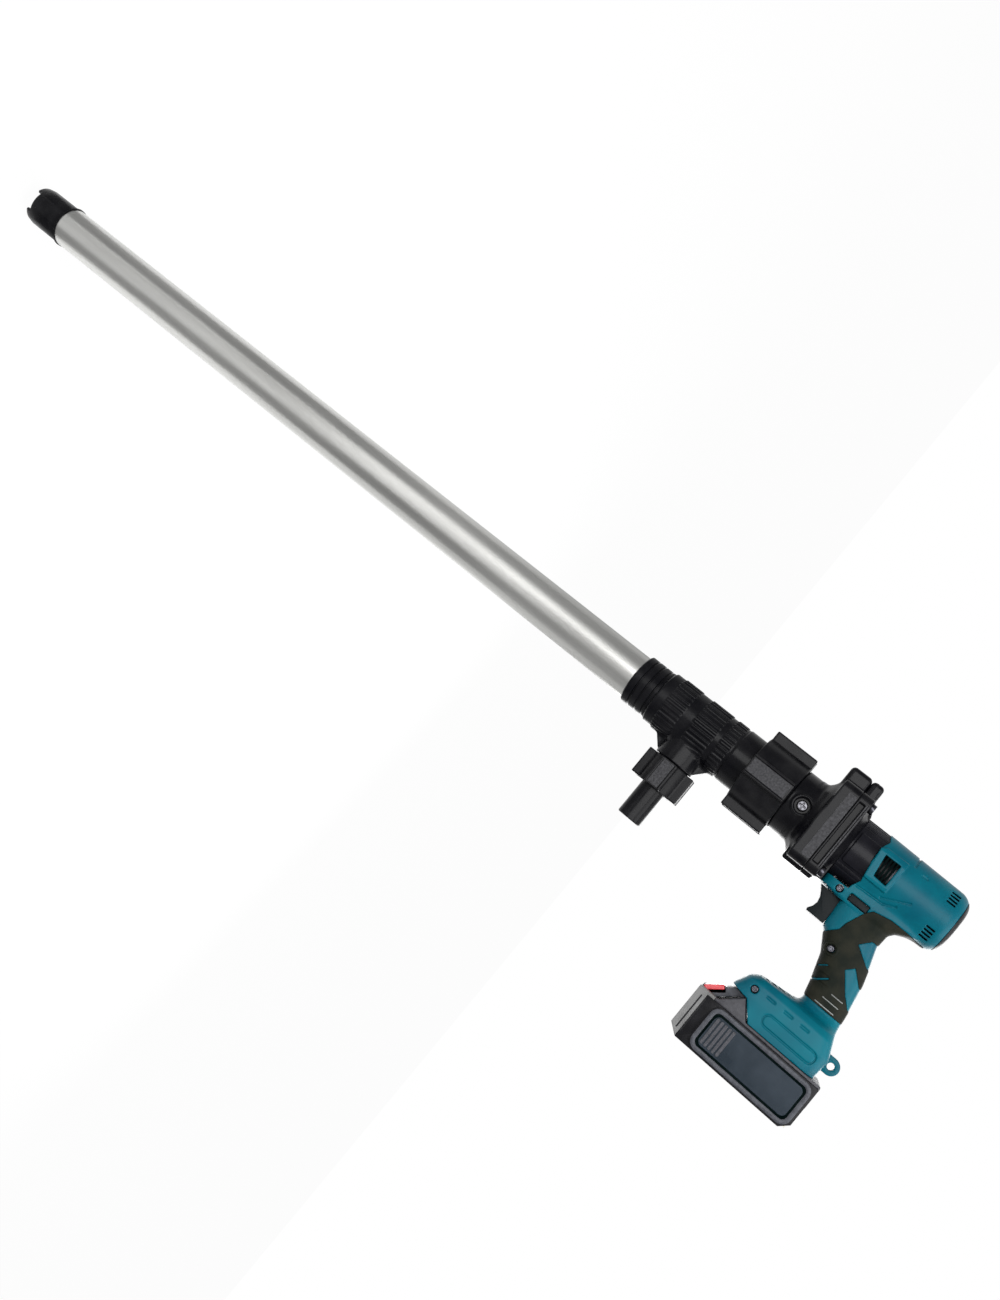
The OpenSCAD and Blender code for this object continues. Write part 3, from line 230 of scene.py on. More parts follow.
def turned(name, profile, body, material, replaces=(), axis="Z", centre=(0, 0, 0), sides=96):
    """A closed profile of (along, radius) turned once round an axis: along stays, and the radius is
    multiplied by the cosine and the sine of the turn."""
    along, radius = np.array(profile, float).T
    turn = np.linspace(0, 2 * np.pi, sides, endpoint=False)
    a = np.broadcast_to(along[:, None], (len(along), sides))
    u, v = radius[:, None] * np.cos(turn), radius[:, None] * np.sin(turn)
    parts = {"X": (a, u, v), "Y": (v, a, u), "Z": (u, v, a)}[axis]
    points = np.stack(parts, -1).reshape(-1, 3) + np.array(centre, float)
    piece = new_piece(name, points, ring_faces(len(along), sides, True), body, material, replaces)
    return smooth(piece, 40)


def slab(name, outline, y0, y1, body, material, edge=0.5, replaces=()):
    """An outline of (Z, X) points drawn out from y0 to y1, with rounded edges."""
    z, x = np.array(outline, float).T
    n = len(z)
    points = np.concatenate([np.stack([x, np.full(n, y), z], -1) for y in (y0, y1)])
    sides = [[i, (i + 1) % n, n + (i + 1) % n, n + i] for i in range(n)]
    faces = [list(range(n)), list(range(n, 2 * n))] + sides
    return round_edges(new_piece(name, points, faces, body, material, replaces), edge)


def rounded_outline(lo, hi, r, steps=8):
    """A rectangle in (Z, X) whose corners are quarter circles of radius r."""
    turn = np.linspace(0, np.pi / 2, steps)
    corners = [(hi[0] - r, hi[1] - r), (lo[0] + r, hi[1] - r), (lo[0] + r, lo[1] + r),
               (hi[0] - r, lo[1] + r)]
    return np.concatenate([np.stack([c[0] + r * np.cos(turn + k * np.pi / 2),
                                     c[1] + r * np.sin(turn + k * np.pi / 2)], -1)
                           for k, c in enumerate(corners)])


def copied(node, material, edge):
    """The node's own solid with its loose triangles merged and its edges rounded."""
    mesh = NODES[node].data.copy()
    shape = bmesh.new()
    shape.from_mesh(mesh)
    bmesh.ops.remove_doubles(shape, verts=shape.verts, dist=2e-6)
    bmesh.ops.dissolve_limit(shape, angle_limit=math.radians(0.5), verts=shape.verts, edges=shape.edges)
    shape.to_mesh(mesh)
    shape.free()
    for layer in list(mesh.uv_layers):
        mesh.uv_layers.remove(layer)
    piece = place(mesh, node + "_finished", NODES[node]["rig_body"], material, (node,))
    return round_edges(piece, edge)


# Fields: each gives roughly the distance to a surface in millimetres, below nought inside it

def box_field(x, y, z, lo, hi, r=0.0):
    """Distance to a box whose edges are rounded to radius r."""
    q = [np.abs(p - (a + b) / 2) - (b - a) / 2 + r for p, a, b in zip((x, y, z), lo, hi)]
    out = np.sqrt(sum(np.maximum(p, 0) ** 2 for p in q))
    return out + np.minimum(within(*q), 0) - r


def rod_field(rho, along, a, b, radius, r=0.0):
    """Distance to a rod between a and b along its axis, with its rims rounded to radius r."""
    p, q = rho - radius + r, np.abs(along - (a + b) / 2) - (b - a) / 2 + r
    out = np.sqrt(np.maximum(p, 0) ** 2 + np.maximum(q, 0) ** 2)
    return out + np.minimum(np.maximum(p, q), 0) - r


def rods_field(rho, along, rods):
    """Distance to the nearest of several rods on one axis, each given as (start, end, radius)."""
    return np.minimum.reduce([rod_field(rho, along, *rod) for rod in rods])


def line_field(u, v, start, end, half):
    """Distance in a plane to a round-ended line from start to end, twice the half wide."""
    du, dv = end[0] - start[0], end[1] - start[1]
    share = np.clip(((u - start[0]) * du + (v - start[1]) * dv) / (du * du + dv * dv), 0, 1)
    return np.hypot(u - start[0] - share * du, v - start[1] - share * dv) - half


def join(a, b, blend=0.0):
    """The nearer of two fields, with a fillet as wide as the blend where they meet."""
    if not blend:
        return np.minimum(a, b)
    h = np.clip(0.5 + 0.5 * (b - a) / blend, 0, 1)
    return b + (a - b) * h - blend * h * (1 - h)


def cut(a, b, blend=0.0):
    """Field a with b taken out of it."""
    return -join(-a, b, blend)


def within(*fields):
    """The space inside all of several fields: the greatest of them."""
    return functools.reduce(np.maximum, fields)


def outline_field(u, v, points):
    """Distance to a closed outline in a plane: the least distance to its edges, below nought where
    a line out of the point crosses them an odd number of times."""
    near, inside = np.inf, False
    for (u0, v0), (u1, v1) in zip(points, np.roll(points, -1, 0)):
        du, dv = u1 - u0, v1 - v0
        share = np.clip(((u - u0) * du + (v - v0) * dv) / (du * du + dv * dv), 0, 1)
        near = np.minimum(near, np.hypot(u - u0 - share * du, v - v0 - share * dv))
        crosses = (v0 > v) != (v1 > v)
        inside = inside ^ (crosses & (u < u0 + (v - v0) / np.where(dv == 0, 1e-9, dv) * du))
    return np.where(inside, -near, near)


def step_up(t):
    """A smooth step: nought below 0, one above 1, with level ends."""
    t = np.clip(t, 0, 1)
    return t * t * (3 - 2 * t)


def level_set(name, field, lo, hi, step, body, material, replaces=()):
    """The surface where a field is nought. Each cell of a grid that the surface crosses gets one point,
    the mean of the crossings on the cell's edges, and each crossed grid edge gets one square. Three
    steps down the field's slope then put the points on the surface."""
    axes = [np.arange(a - 1.5 * step, b + 2.5 * step, step) for a, b in zip(lo, hi)]
    grids = np.meshgrid(*axes, indexing="ij", sparse=True)
    size = [len(a) for a in axes]
    f = np.broadcast_to(field(*grids), size).astype(np.float32)
    cells = tuple(n - 1 for n in size)
    total = np.zeros(cells + (3,), np.float32)
    count = np.zeros(cells, np.float32)
    corners = [(0, 0), (1, 0), (1, 1), (0, 1)]
    crossed = []
    for k in range(3):
        first = f[tuple(slice(0, -1) if m == k else slice(None) for m in range(3))]
        last = f[tuple(slice(1, None) if m == k else slice(None) for m in range(3))]
        hit = (first < 0) != (last < 0)
        share = np.where(hit, first / np.where(hit, first - last, 1), 0)
        others = [m for m in range(3) if m != k]
        for da, db in corners:
            window = [slice(None)] * 3
            window[others[0]] = slice(da, da + cells[others[0]])
            window[others[1]] = slice(db, db + cells[others[1]])
            part = hit[tuple(window)]
            count += part
            total[..., k] += share[tuple(window)]
            total[..., others[0]] += part * np.float32(da)
            total[..., others[1]] += part * np.float32(db)
        crossed.append((hit, first < 0, others))
    used = count > 0
    number = np.full(cells, -1)
    number[used] = np.arange(used.sum())
    where = np.stack(np.nonzero(used), -1)
    points = np.array([a[0] for a in axes]) + (where + total[used] / count[used][:, None]) * step
    faces = []
    for k, (hit, inside, others) in enumerate(crossed):
        at = np.stack(np.nonzero(hit), -1)
        keep = np.all([(at[:, m] > 0) & (at[:, m] < size[m] - 1) for m in others], 0)
        at = at[keep]
        ring = []
        for da, db in corners:
            cell = at.copy()
            cell[:, others[0]] -= 1 - da
            cell[:, others[1]] -= 1 - db
            ring.append(number[tuple(cell.T)])
        quad = np.stack(ring, -1)
        turn = inside[tuple(at.T)] ^ (k == 1)
        faces.append(np.where(turn[:, None], quad, quad[:, ::-1]))
    faces = np.concatenate(faces)
    for _ in range(3):
        x, y, z = points.T
        h = step * 0.1
        value = field(x, y, z)
        slope = np.stack([field(x + h, y, z) - field(x - h, y, z), field(x, y + h, z) - field(x, y - h, z),
                          field(x, y, z + h) - field(x, y, z - h)], -1) / (2 * h)
        steep = np.maximum((slope ** 2).sum(-1), 0.05)
        move = -slope * (value / steep)[:, None]
        points = points + np.clip(move, -0.35 * step, 0.35 * step)
    mesh = bpy.data.meshes.new(name)
    mesh.vertices.add(len(points))
    mesh.vertices.foreach_set("co", (points * MM).astype(np.float32).ravel())
    mesh.loops.add(len(faces) * 4)
    mesh.loops.foreach_set("vertex_index", faces.ravel().astype(np.int32))
    mesh.polygons.add(len(faces))
    mesh.polygons.foreach_set("loop_start", np.arange(0, len(faces) * 4, 4, dtype=np.int32))
    mesh.update(calc_edges=True)
    mesh.validate()
    return smooth(place(mesh, name, body, material, replaces))


# Finishes

def add(nodes, kind, **values):
    """A new shader node, with values for its inputs. An underscore stands for a space in their names."""
    thing = nodes.new("ShaderNode" + kind)
    for name, value in values.items():
        thing.inputs[name.replace("_", " ")].default_value = value
    return thing


def finish(name, low, high, rough, spread=0.08, metal=0.0, mottle=60.0, grain=900.0, height=0.02,
           stretch=(1, 1, 1), specular=0.5):
    """A material whose colour wanders between two tones, whose roughness wanders by the spread, and
    whose surface has a fine grain. Mottle and grain are cells to a metre, height is in millimetres."""
    material = bpy.data.materials.new(name)
    material.use_nodes = True
    nodes, links = material.node_tree.nodes, material.node_tree.links
    shader = nodes["Principled BSDF"]
    shader.inputs["Metallic"].default_value = metal
    shader.inputs["Specular IOR Level"].default_value = specular
    places = add(nodes, "TexCoord")
    mapping = add(nodes, "Mapping", Scale=stretch)
    broad = add(nodes, "TexNoise", Scale=mottle, Detail=4.0)
    tones = add(nodes, "ValToRGB")
    for mark, place_on_ramp, tone in zip(tones.color_ramp.elements, (0.35, 0.68), (low, high)):
        mark.position = place_on_ramp
        mark.color = (*tone, 1)
    sheen = add(nodes, "MapRange", From_Min=0.3, From_Max=0.7, To_Min=max(rough - spread, 0.03),
                To_Max=min(rough + spread, 1.0))
    fine = add(nodes, "TexNoise", Scale=grain, Detail=2.0)
    bump = add(nodes, "Bump", Strength=0.6, Distance=height * MM)
    links.new(places.outputs["Object"], mapping.inputs["Vector"])
    links.new(mapping.outputs["Vector"], broad.inputs["Vector"])
    links.new(mapping.outputs["Vector"], fine.inputs["Vector"])
    links.new(broad.outputs["Fac"], tones.inputs["Fac"])
    links.new(broad.outputs["Fac"], sheen.inputs["Value"])
    links.new(fine.outputs["Fac"], bump.inputs["Height"])
    links.new(tones.outputs["Color"], shader.inputs["Base Color"])
    links.new(sheen.outputs["Result"], shader.inputs["Roughness"])
    links.new(bump.outputs["Normal"], shader.inputs["Normal"])
    return material


ALUMINIUM = finish("drawn_aluminium", (0.47, 0.47, 0.455), (0.64, 0.64, 0.62), 0.31, 0.05, metal=1.0,
                   mottle=55.0, grain=420.0, height=0.03, stretch=(1, 1, 0.06))
PUMP_BLACK = finish("pump_black", (0.002, 0.002, 0.003), (0.006, 0.006, 0.007), 0.26, 0.06, height=0.03,
                    specular=0.10)
NUT_BLACK = finish("nut_black", (0.003, 0.003, 0.004), (0.009, 0.009, 0.010), 0.34, 0.07, height=0.04,
                   specular=0.11)
# The pebbled texture is real; the grey lighter than the nuts' black is partly painted sheen, for faces that
# catch the light.
PEBBLE_AND_SHEEN = finish("pebbled_plate_and_sheen", (0.014, 0.014, 0.016), (0.046, 0.046, 0.050), 0.46, 0.12,
                mottle=620.0, grain=1100.0, height=0.22, specular=0.12)
CASE_BLACK = finish("case_black", (0.005, 0.005, 0.007), (0.009, 0.009, 0.012), 0.26, 0.05, specular=0.09)
TEAL = finish("teal_shell", (0.000, 0.062, 0.092), (0.000, 0.094, 0.126), 0.36, 0.05, mottle=25.0,
              grain=1600.0, height=0.02, specular=0.10)
RUBBER = finish("grip_rubber", (0.004, 0.006, 0.004), (0.016, 0.016, 0.011), 0.60, 0.08, mottle=70.0,
                grain=2200.0, height=0.05, specular=0.07)
# Painted highlight: the ridges are a lighter grey than the rubber, for the light lines along their crests.
RIDGE_HIGHLIGHT = finish("grip_ridge_painted_highlight", (0.10, 0.105, 0.10), (0.17, 0.175, 0.17), 0.45, 0.05, specular=0.3)
TRIGGER_GREY = finish("trigger_grey", (0.004, 0.006, 0.007), (0.009, 0.011, 0.012), 0.40, 0.06, specular=0.06)
PACK = finish("pack_charcoal", (0.004, 0.004, 0.005), (0.010, 0.010, 0.012), 0.38, 0.06, grain=1500.0,
              height=0.05, specular=0.12)
COVER = finish("cover_charcoal", (0.026, 0.026, 0.031), (0.048, 0.048, 0.055), 0.46, 0.06, mottle=300.0,
               grain=1500.0, height=0.06, specular=0.25)
BEZEL = finish("bezel_grey", (0.036, 0.038, 0.046), (0.064, 0.067, 0.078), 0.42, 0.06, mottle=260.0,
               grain=1500.0, height=0.05, specular=0.16)
SLATE = finish("panel_slate", (0.007, 0.013, 0.020), (0.018, 0.026, 0.036), 0.33, 0.08, mottle=38.0,
               specular=0.12)
RIBBED = finish("ribbed_slate", (0.020, 0.021, 0.027), (0.040, 0.041, 0.050), 0.42, 0.08, mottle=400.0,
                grain=1400.0, height=0.08, specular=0.3)
PACK_GREY = finish("front_grey", (0.11, 0.11, 0.11), (0.17, 0.17, 0.17), 0.42, 0.06, specular=0.15)
BUTTON_RED = finish("button_red", (0.46, 0.020, 0.030), (0.56, 0.040, 0.050), 0.26, 0.05)
STEEL = finish("ground_steel", (0.52, 0.53, 0.54), (0.64, 0.65, 0.66), 0.24, 0.06, metal=1.0, mottle=300.0)
BRIGHT = finish("bright_zinc", (0.05, 0.05, 0.055), (0.10, 0.10, 0.11), 0.20, 0.06, metal=1.0, mottle=400.0)
OXIDE = finish("black_oxide", (0.035, 0.035, 0.042), (0.065, 0.065, 0.075), 0.28, 0.06, metal=1.0,
               mottle=400.0)
SEAL = finish("seal_rubber", (0.012, 0.012, 0.012), (0.020, 0.020, 0.020), 0.55)
NATURAL = finish("natural_plastic", (0.60, 0.57, 0.48), (0.68, 0.65, 0.56), 0.45)
ALLOY = finish("turned_alloy", (0.48, 0.49, 0.50), (0.58, 0.59, 0.60), 0.32, 0.06, metal=1.0, mottle=200.0)
SPIDER = finish("coupling_star", (0.42, 0.06, 0.035), (0.50, 0.085, 0.05), 0.55)
FAN = finish("fan_green", (0.025, 0.12, 0.07), (0.035, 0.15, 0.09), 0.42)
IRON = finish("motor_steel", (0.07, 0.07, 0.075), (0.11, 0.11, 0.12), 0.46, 0.08, metal=1.0, mottle=150.0)
COPPER = finish("enamelled_copper", (0.55, 0.24, 0.10), (0.64, 0.31, 0.15), 0.34, 0.08, metal=1.0,
                mottle=800.0)
CARBON = finish("carbon", (0.015, 0.015, 0.016), (0.030, 0.030, 0.031), 0.6)
BOARD = finish("board_green", (0.012, 0.09, 0.035), (0.020, 0.13, 0.055), 0.35)
CONTACT = finish("contact_brass", (0.68, 0.48, 0.18), (0.78, 0.57, 0.24), 0.22, 0.05, metal=1.0)
WRAP = finish("cell_wrap", (0.06, 0.20, 0.36), (0.08, 0.26, 0.44), 0.3)
# Painted shade: near black without gloss, for the vent grilles, the side panels' channels, the button's stem
# and the sleeve behind the rear slots.
SHADE_BLACK = finish("painted_shade_black", (0.001, 0.003, 0.003), (0.003, 0.006, 0.006), 0.6, specular=0.0)

FINISH_OF = {
    "tube_aluminium": ALUMINIUM, "pump_black": PUMP_BLACK, "nut_black": NUT_BLACK,
    "natural_plastic": NATURAL, "seal_rubber": SEAL, "shaft_steel": STEEL, "bright_screw": BRIGHT,
    "coupling_alloy": ALLOY, "spider_red": SPIDER, "case_black": CASE_BLACK, "shell_teal": TEAL,
    "grip_rubber": RUBBER, "trigger_grey": TRIGGER_GREY, "fan_green": FAN, "motor_steel": IRON,
    "winding_copper": COPPER, "brush_carbon": CARBON, "board_green": BOARD, "contact_brass": CONTACT,
    "pack_charcoal": PACK, "pack_grey": PACK_GREY, "panel_slate": SLATE, "cell_wrap": WRAP,
    "button_red": BUTTON_RED}
SLOT_OF = {row["node"]: row["material_slot"] for row in frame["record"]["subparts"]}

for node, thing in NODES.items():
    thing.data.materials.clear()
    thing.data.materials.append(FINISH_OF[SLOT_OF[node]])


# Pump

def suction_tube():
    """The tube's wall: an outer and an inner radius with slightly broken edges."""
    broken = 0.3
    turned("suction_tube", [(CAP_END, TUBE_BORE), (CAP_END, TUBE_R - broken), (CAP_END + broken, TUBE_R),
                            (COLLAR_Z - 0.05, TUBE_R), (COLLAR_Z, TUBE_R - 0.4), (825.6, TUBE_R - 0.4),
                            (825.6, TUBE_BORE)],
           "pump_frame", ALUMINIUM, ("outer_tube",), sides=160)


def intake():
    """The cap's own solid with rounded edges, and the thin lip of its skirt round the tube."""
    copied("intake_cap", PUMP_BLACK, 0.35)
    lip_r, lip_t = 21.0, 1.5
    turned("cap_lip", [(CAP_END - lip_t, TUBE_R - 0.6), (CAP_END - lip_t, lip_r - 0.5),
                       (CAP_END - lip_t / 2, lip_r), (CAP_END + lip_t / 2, lip_r - 0.2),
                       (CAP_END + lip_t / 2, TUBE_R + 0.1)],
           "pump_frame", PUMP_BLACK)


def collar():
    """Three stepped rings: the radius drops in a groove after each ring."""
    bore, r, groove, spigot = 19.65, 22.6, 1.3, 22.3
    profile = [(COLLAR_Z, bore), (COLLAR_Z, r - 0.8), (COLLAR_Z + 0.8, r)]
    for k in range(1, 4):
        z = COLLAR_Z + 7.0 * k
        profile += [(z - 0.5, r), (z, r - groove), (z + 1.0, r - groove), (z + 1.5, r)]
    profile += [(HEAD_Z - 0.05, r), (HEAD_Z - 0.05, spigot), (HEAD_Z + 9.0, spigot), (HEAD_Z + 9.0, bore)]
    turned("tube_collar_rings", profile, "pump_frame", PUMP_BLACK, ("tube_collar",))


def head_field(x, y, z):
    """The head's body is a radius that gains a rib wherever the cosine of 36 turns is high and the
    height lies in a band. The outlet boss and its two webs join it with fillets."""
    rho, turn = np.hypot(x, y), np.arctan2(y, x)
    rib = step_up((np.cos(RIB_COUNT * turn) + 0.25) / 0.5)
    band = sum(step_up((z - a) / 0.9) * step_up((b - z) / 0.9) for a, b in RIB_BANDS)
    plain = step_up((z - RIB_BANDS[2][1] - 1.5) / 1.5)
    start = np.minimum(0, (z - HEAD_Z) - 2.0)
    radius = HEAD_R - RIB_H + RIB_H * np.maximum(rib * band, plain) + start
    body = within(rho - radius, HEAD_Z - z, z - HEAD_END)
    rim = rod_field(rho, z, RIM_Z, HEAD_END, RIM_R, 0.4)
    across = np.hypot(y, z - OUTLET_Z)
    boss = rod_field(across, x, 0, BOSS_END, BOSS_R, 0.8)
    web_half, web_end, reach, slant, height, edge = 4.0, 34.0, 49.0, 0.9, 27.0, 0.5
    level = np.abs(z - OUTLET_Z)
    web = np.maximum(np.abs(y) - web_half + edge, level + slant * np.maximum(x, 0) - reach) - edge
    web = within(web, x - web_end, -x, level - height)
    solid = join(join(body, boss, 3.0), web, 2.0)
    solid = join(solid, rod_field(across, x, 0, THREAD_END, THREAD_R, 0.5))
    solid = join(solid, rim)
    hollow = rods_field(rho, z, HEAD_BORES)
    return cut(solid, join(hollow, rod_field(across, x, 0, THREAD_END + 2, OUTLET_BORE)))


def pump_head():
    level_set("pump_head_casting", head_field, (-27.5, -27.5, HEAD_Z), (THREAD_END, 27.5, HEAD_END), 0.62,
              "pump_frame", PUMP_BLACK, ("pump_head",))


def nut_field(u, v, w, start, end, r, lug_r, lug_half, bore, lip, lip_bore, dish):
    """A bored barrel with four lugs: u and v lie across the axis and w along it. Each lug's face is
    sunk by the dish between two rails."""
    rho = np.hypot(u, v)
    barrel = rod_field(rho, w, start, end, r, 1.2)
    far, side = np.maximum(np.abs(u), np.abs(v)), np.minimum(np.abs(u), np.abs(v))
    mid, half = (start + end) / 2, (end - start) / 2
    lug = box_field(far, side, w - mid, (0, -lug_half, -half + 0.4), (lug_r, lug_half, half - 0.4), 1.0)
    rail = lug_half - 2.0
    face = np.maximum(lug_r - dish - far, side - rail)
    solid = join(barrel, cut(lug, face), 0.8)
    hollow = join(rod_field(rho, w, start + lip, end + 2, bore), rod_field(rho, w, start - 2, end, lip_bore))
    return cut(solid, hollow)


def plates(name, start, end, lug_r, half, thick, axis, centre, body):
    """Four pebbled plates, one on each lug's face, with rounded edges, in a grey that is partly painted
    sheen.
    """
    points, faces = [], []
    for k in range(4):
        box = np.array([[lug_r - thick, a, b] for a in (-half, half) for b in (start, end)]
                       + [[lug_r, a, b] for a in (-half, half) for b in (start, end)])
        c, s = round(math.cos(k * math.pi / 2)), round(math.sin(k * math.pi / 2))
        u, v, w = box[:, 0] * c - box[:, 1] * s, box[:, 0] * s + box[:, 1] * c, box[:, 2]
        parts = (w, u, v) if axis == "X" else (u, v, w)
        points.append(np.stack(parts, -1) + np.array(centre, float))
        corner = [(0, 1, 3, 2), (4, 5, 7, 6), (0, 1, 5, 4), (2, 3, 7, 6), (0, 2, 6, 4), (1, 3, 7, 5)]
        faces += [[8 * k + i for i in f] for f in corner]
    piece = new_piece(name, np.concatenate(points), faces, body, PEBBLE_AND_SHEEN)
    return round_edges(piece, 0.25)


def union_nut():
    def field(x, y, z):
        return nut_field(x, y, z, *NUT_Z, NUT_R, NUT_LUG_R, NUT_LUG_HALF, 27.6, 4.0, 25.4, 0.9)
    level_set("union_nut_casting", field, (-38, -38, NUT_Z[0]), (38, 38, NUT_Z[1]), 0.75, "union_ring",
              NUT_BLACK, ("union_nut",))
    plates("union_nut_plates", NUT_Z[0] + 2.0, NUT_Z[1] - 2.0, NUT_LUG_R - 0.45, 6.4, 0.9, "Z", (0, 0, 0),
           "union_ring")


def outlet_nut():
    def field(x, y, z):
        return nut_field(y, z - OUTLET_Z, -x, -OUT_NUT_X[1], -OUT_NUT_X[0], OUT_NUT_R, OUT_LUG_R,
                         OUT_LUG_HALF, 14.9, 3.6, 11.4, 0.7)
    level_set("outlet_nut_casting", field, (OUT_NUT_X[0], -23, OUTLET_Z - 23),
              (OUT_NUT_X[1], 23, OUTLET_Z + 23), 0.5, "outlet_ring", NUT_BLACK, ("outlet_nut",))
    plates("outlet_nut_plates", OUT_NUT_X[0] + 1.6, OUT_NUT_X[1] - 1.6, OUT_LUG_R - 0.35, 5.0, 0.7, "X",
           (0, 0, OUTLET_Z), "outlet_ring")


def hose_tail():
    """A plain stub with a broken outer edge, a relief inside the nut and a rim against the gasket."""
    x0, face, end, r, bore = 53.5, 63.8, 95.4, 11.0, OUTLET_BORE
    turned("hose_tail_stub", [(x0, bore), (x0, THREAD_R), (x0 + 3.6, THREAD_R), (x0 + 3.6, r - 0.4),
                              (face, r - 0.4), (face + 0.1, r), (end - 0.8, r), (end, r - 0.8),
                              (end, bore + 0.6), (end - 0.6, bore)],
           "pump_frame", PUMP_BLACK, ("hose_tail",), axis="X", centre=(0, 0, OUTLET_Z))


def bell_field(x, y, z):
    """The neck flares into the flange with a fillet. The flange is a rounded block with an upper ear
    and a lower lug, and a round recess holds the screw on each side."""
    rho = np.hypot(x, y)
    neck = rod_field(rho, z, NECK_Z, JOINT_Z, NECK_R, 0.8)
    spigot = rod_field(rho, z, SPIGOT_Z, NECK_Z + 2, RIM_R, 0.3)
    flare = step_up((z - FLARE_Z + 2) / (PLATE_Z - FLARE_Z + 3))
    cone = within(rho - NECK_R - (BLOCK_X - NECK_R) * flare, FLARE_Z - 4 - z, z - JOINT_Z)
    block = flange_block(x, y, z, PLATE_Z, JOINT_Z)
    ear = box_field(x, y, z, (EAR_X, -EAR_HALF, EAR_Z), (0, EAR_HALF, JOINT_Z), 4.0)
    lug = box_field(x, y, z, (0, -LUG_HALF, LUG_Z[0]), (LUG_X, LUG_HALF, JOINT_Z), 2.0)
    solid = join(join(neck, cone, 2.0), join(join(block, ear, 4.0), lug, 2.0), 3.0)
    solid = join(within_block(np.maximum(solid, z - JOINT_Z), x, y), spigot)
    collar_t, screw_r, neck_bore, flange_bore = 2.0, 2.55, 23.8, 20.0
    across = np.hypot(x, z - RECESS_Z)
    ring = rod_field(across, np.abs(y), flange_bore, NECK_R + 0.5, RECESS_R + collar_t, 1.0)
    recess = rod_field(across, np.abs(y), NECK_R - RECESS_T, NECK_R + 9, RECESS_R, 0.3)
    solid = cut(join(solid, ring, 1.5), recess, 0.8)
    hollow = rods_field(rho, z, ((900.0, NECK_Z, neck_bore), (930.0, JOINT_Z + 3, flange_bore)))
    return cut(solid, join(hollow, rod_field(across, np.abs(y), 15, NECK_R, screw_r)))


def within_block(solid, x, y):
    """Keeps fillets inside the flanges' outer faces."""
    return within(solid, np.abs(y) - FACE_Y, EAR_X - x, x - LUG_X)


def flange_block(x, y, z, low, high):
    """A block across the axis with round corners of 7 mm and rims broken by 1 mm."""
    corner, rim = 7.0, 1.0
    p = np.maximum(np.abs(x) - BLOCK_X + corner, 0)
    q = np.maximum(np.abs(y) - FACE_Y + corner, 0)
    flat = np.hypot(p, q) - corner + np.minimum(np.maximum(np.abs(x) - BLOCK_X + corner,
                                                           np.abs(y) - FACE_Y + corner), 0)
    return rod_field(flat, z, low, high, 0.0, rim)


def bell_housing():
    level_set("bell_casting", bell_field, (EAR_X, -BLOCK_Y, SPIGOT_Z), (LUG_X, BLOCK_Y, JOINT_Z), 0.8,
              "pump_frame", PUMP_BLACK, ("bell_housing",))


def clamp_field(x, y, z):
    """The second flange: block, ear, lug and a cone down to the gear case, with a slot in each side."""
    rho = np.hypot(x, y)
    block = flange_block(x, y, z, JOINT_Z, CLAMP_END)
    slant = np.clip((CASE_Z - z) / (CASE_Z - CLAMP_END), 0, 1)
    cone = within(rho - CASE_R - (BLOCK_X - CASE_R) * slant, JOINT_Z - z, z - CASE_Z)
    ear = box_field(x, y, z, (EAR_X, -EAR_HALF, JOINT_Z), (0, EAR_HALF, CLAMP_END), 3.6)
    ramp = (z - CASE_Z) * 0.91 - (x + CASE_R) * 0.42
    wedge = box_field(x, y, z, (EAR_X, -EAR_HALF, 984.0), (0, EAR_HALF, CASE_Z))
    ear = join(ear, np.maximum(wedge, ramp), 1.0)
    lug = box_field(x, y, z, (0, -LUG_HALF, JOINT_Z), (LUG_X, LUG_HALF, LUG_Z[1]), 1.5)
    toe = box_field(x, y, z, (0, -LUG_HALF, JOINT_Z), (LUG_X - 5.0, LUG_HALF, CASE_Z), 1.0)
    solid = join(join(block, cone, 1.5), join(ear, join(lug, toe, 1.5), 0.5), 2.0)
    solid = within_block(within(solid, JOINT_Z + 0.02 - z, z - CASE_Z), x, y)
    slot = box_field(x, np.abs(y), z, (-SLOT_HALF, FACE_Y - SLOT_T, SLOT_Z[0]),
                     (SLOT_HALF, FACE_Y + 5, SLOT_Z[1]), 0.4)
    return cut(cut(solid, slot), rod_field(rho, z, JOINT_Z - 3, CASE_Z + 3, CASE_SPIGOT_R + 0.05))


def clamp_flange():
    level_set("clamp_casting", clamp_field, (EAR_X, -BLOCK_Y, JOINT_Z), (LUG_X, BLOCK_Y, CASE_Z), 0.7,
              "pump_frame", PUMP_BLACK, ("clamp_flange",))


def rail(name, ends):
    """A pebbled strip along both side faces of a flange, in a grey that is partly painted sheen."""
    outline = rounded_outline((ends[0], -RAIL_HALF), (ends[1], RAIL_HALF), 1.5)
    for s, side in ((-1, "left"), (1, "right")):
        slab(name + "_" + side, outline, s * (FACE_Y - 0.6), s * BLOCK_Y, "pump_frame", PEBBLE_AND_SHEEN,
             0.25)


def front_edge(x):
    """Where the housing's side begins above the gear case: it dips forward over the panel."""
    return np.interp(x, (-26.0, -21.0, -10.0, 17.0, 24.0, 27.0),
                     (1016.0, 1019.0, 1014.6, 1019.6, 1016.4, 1016.0))


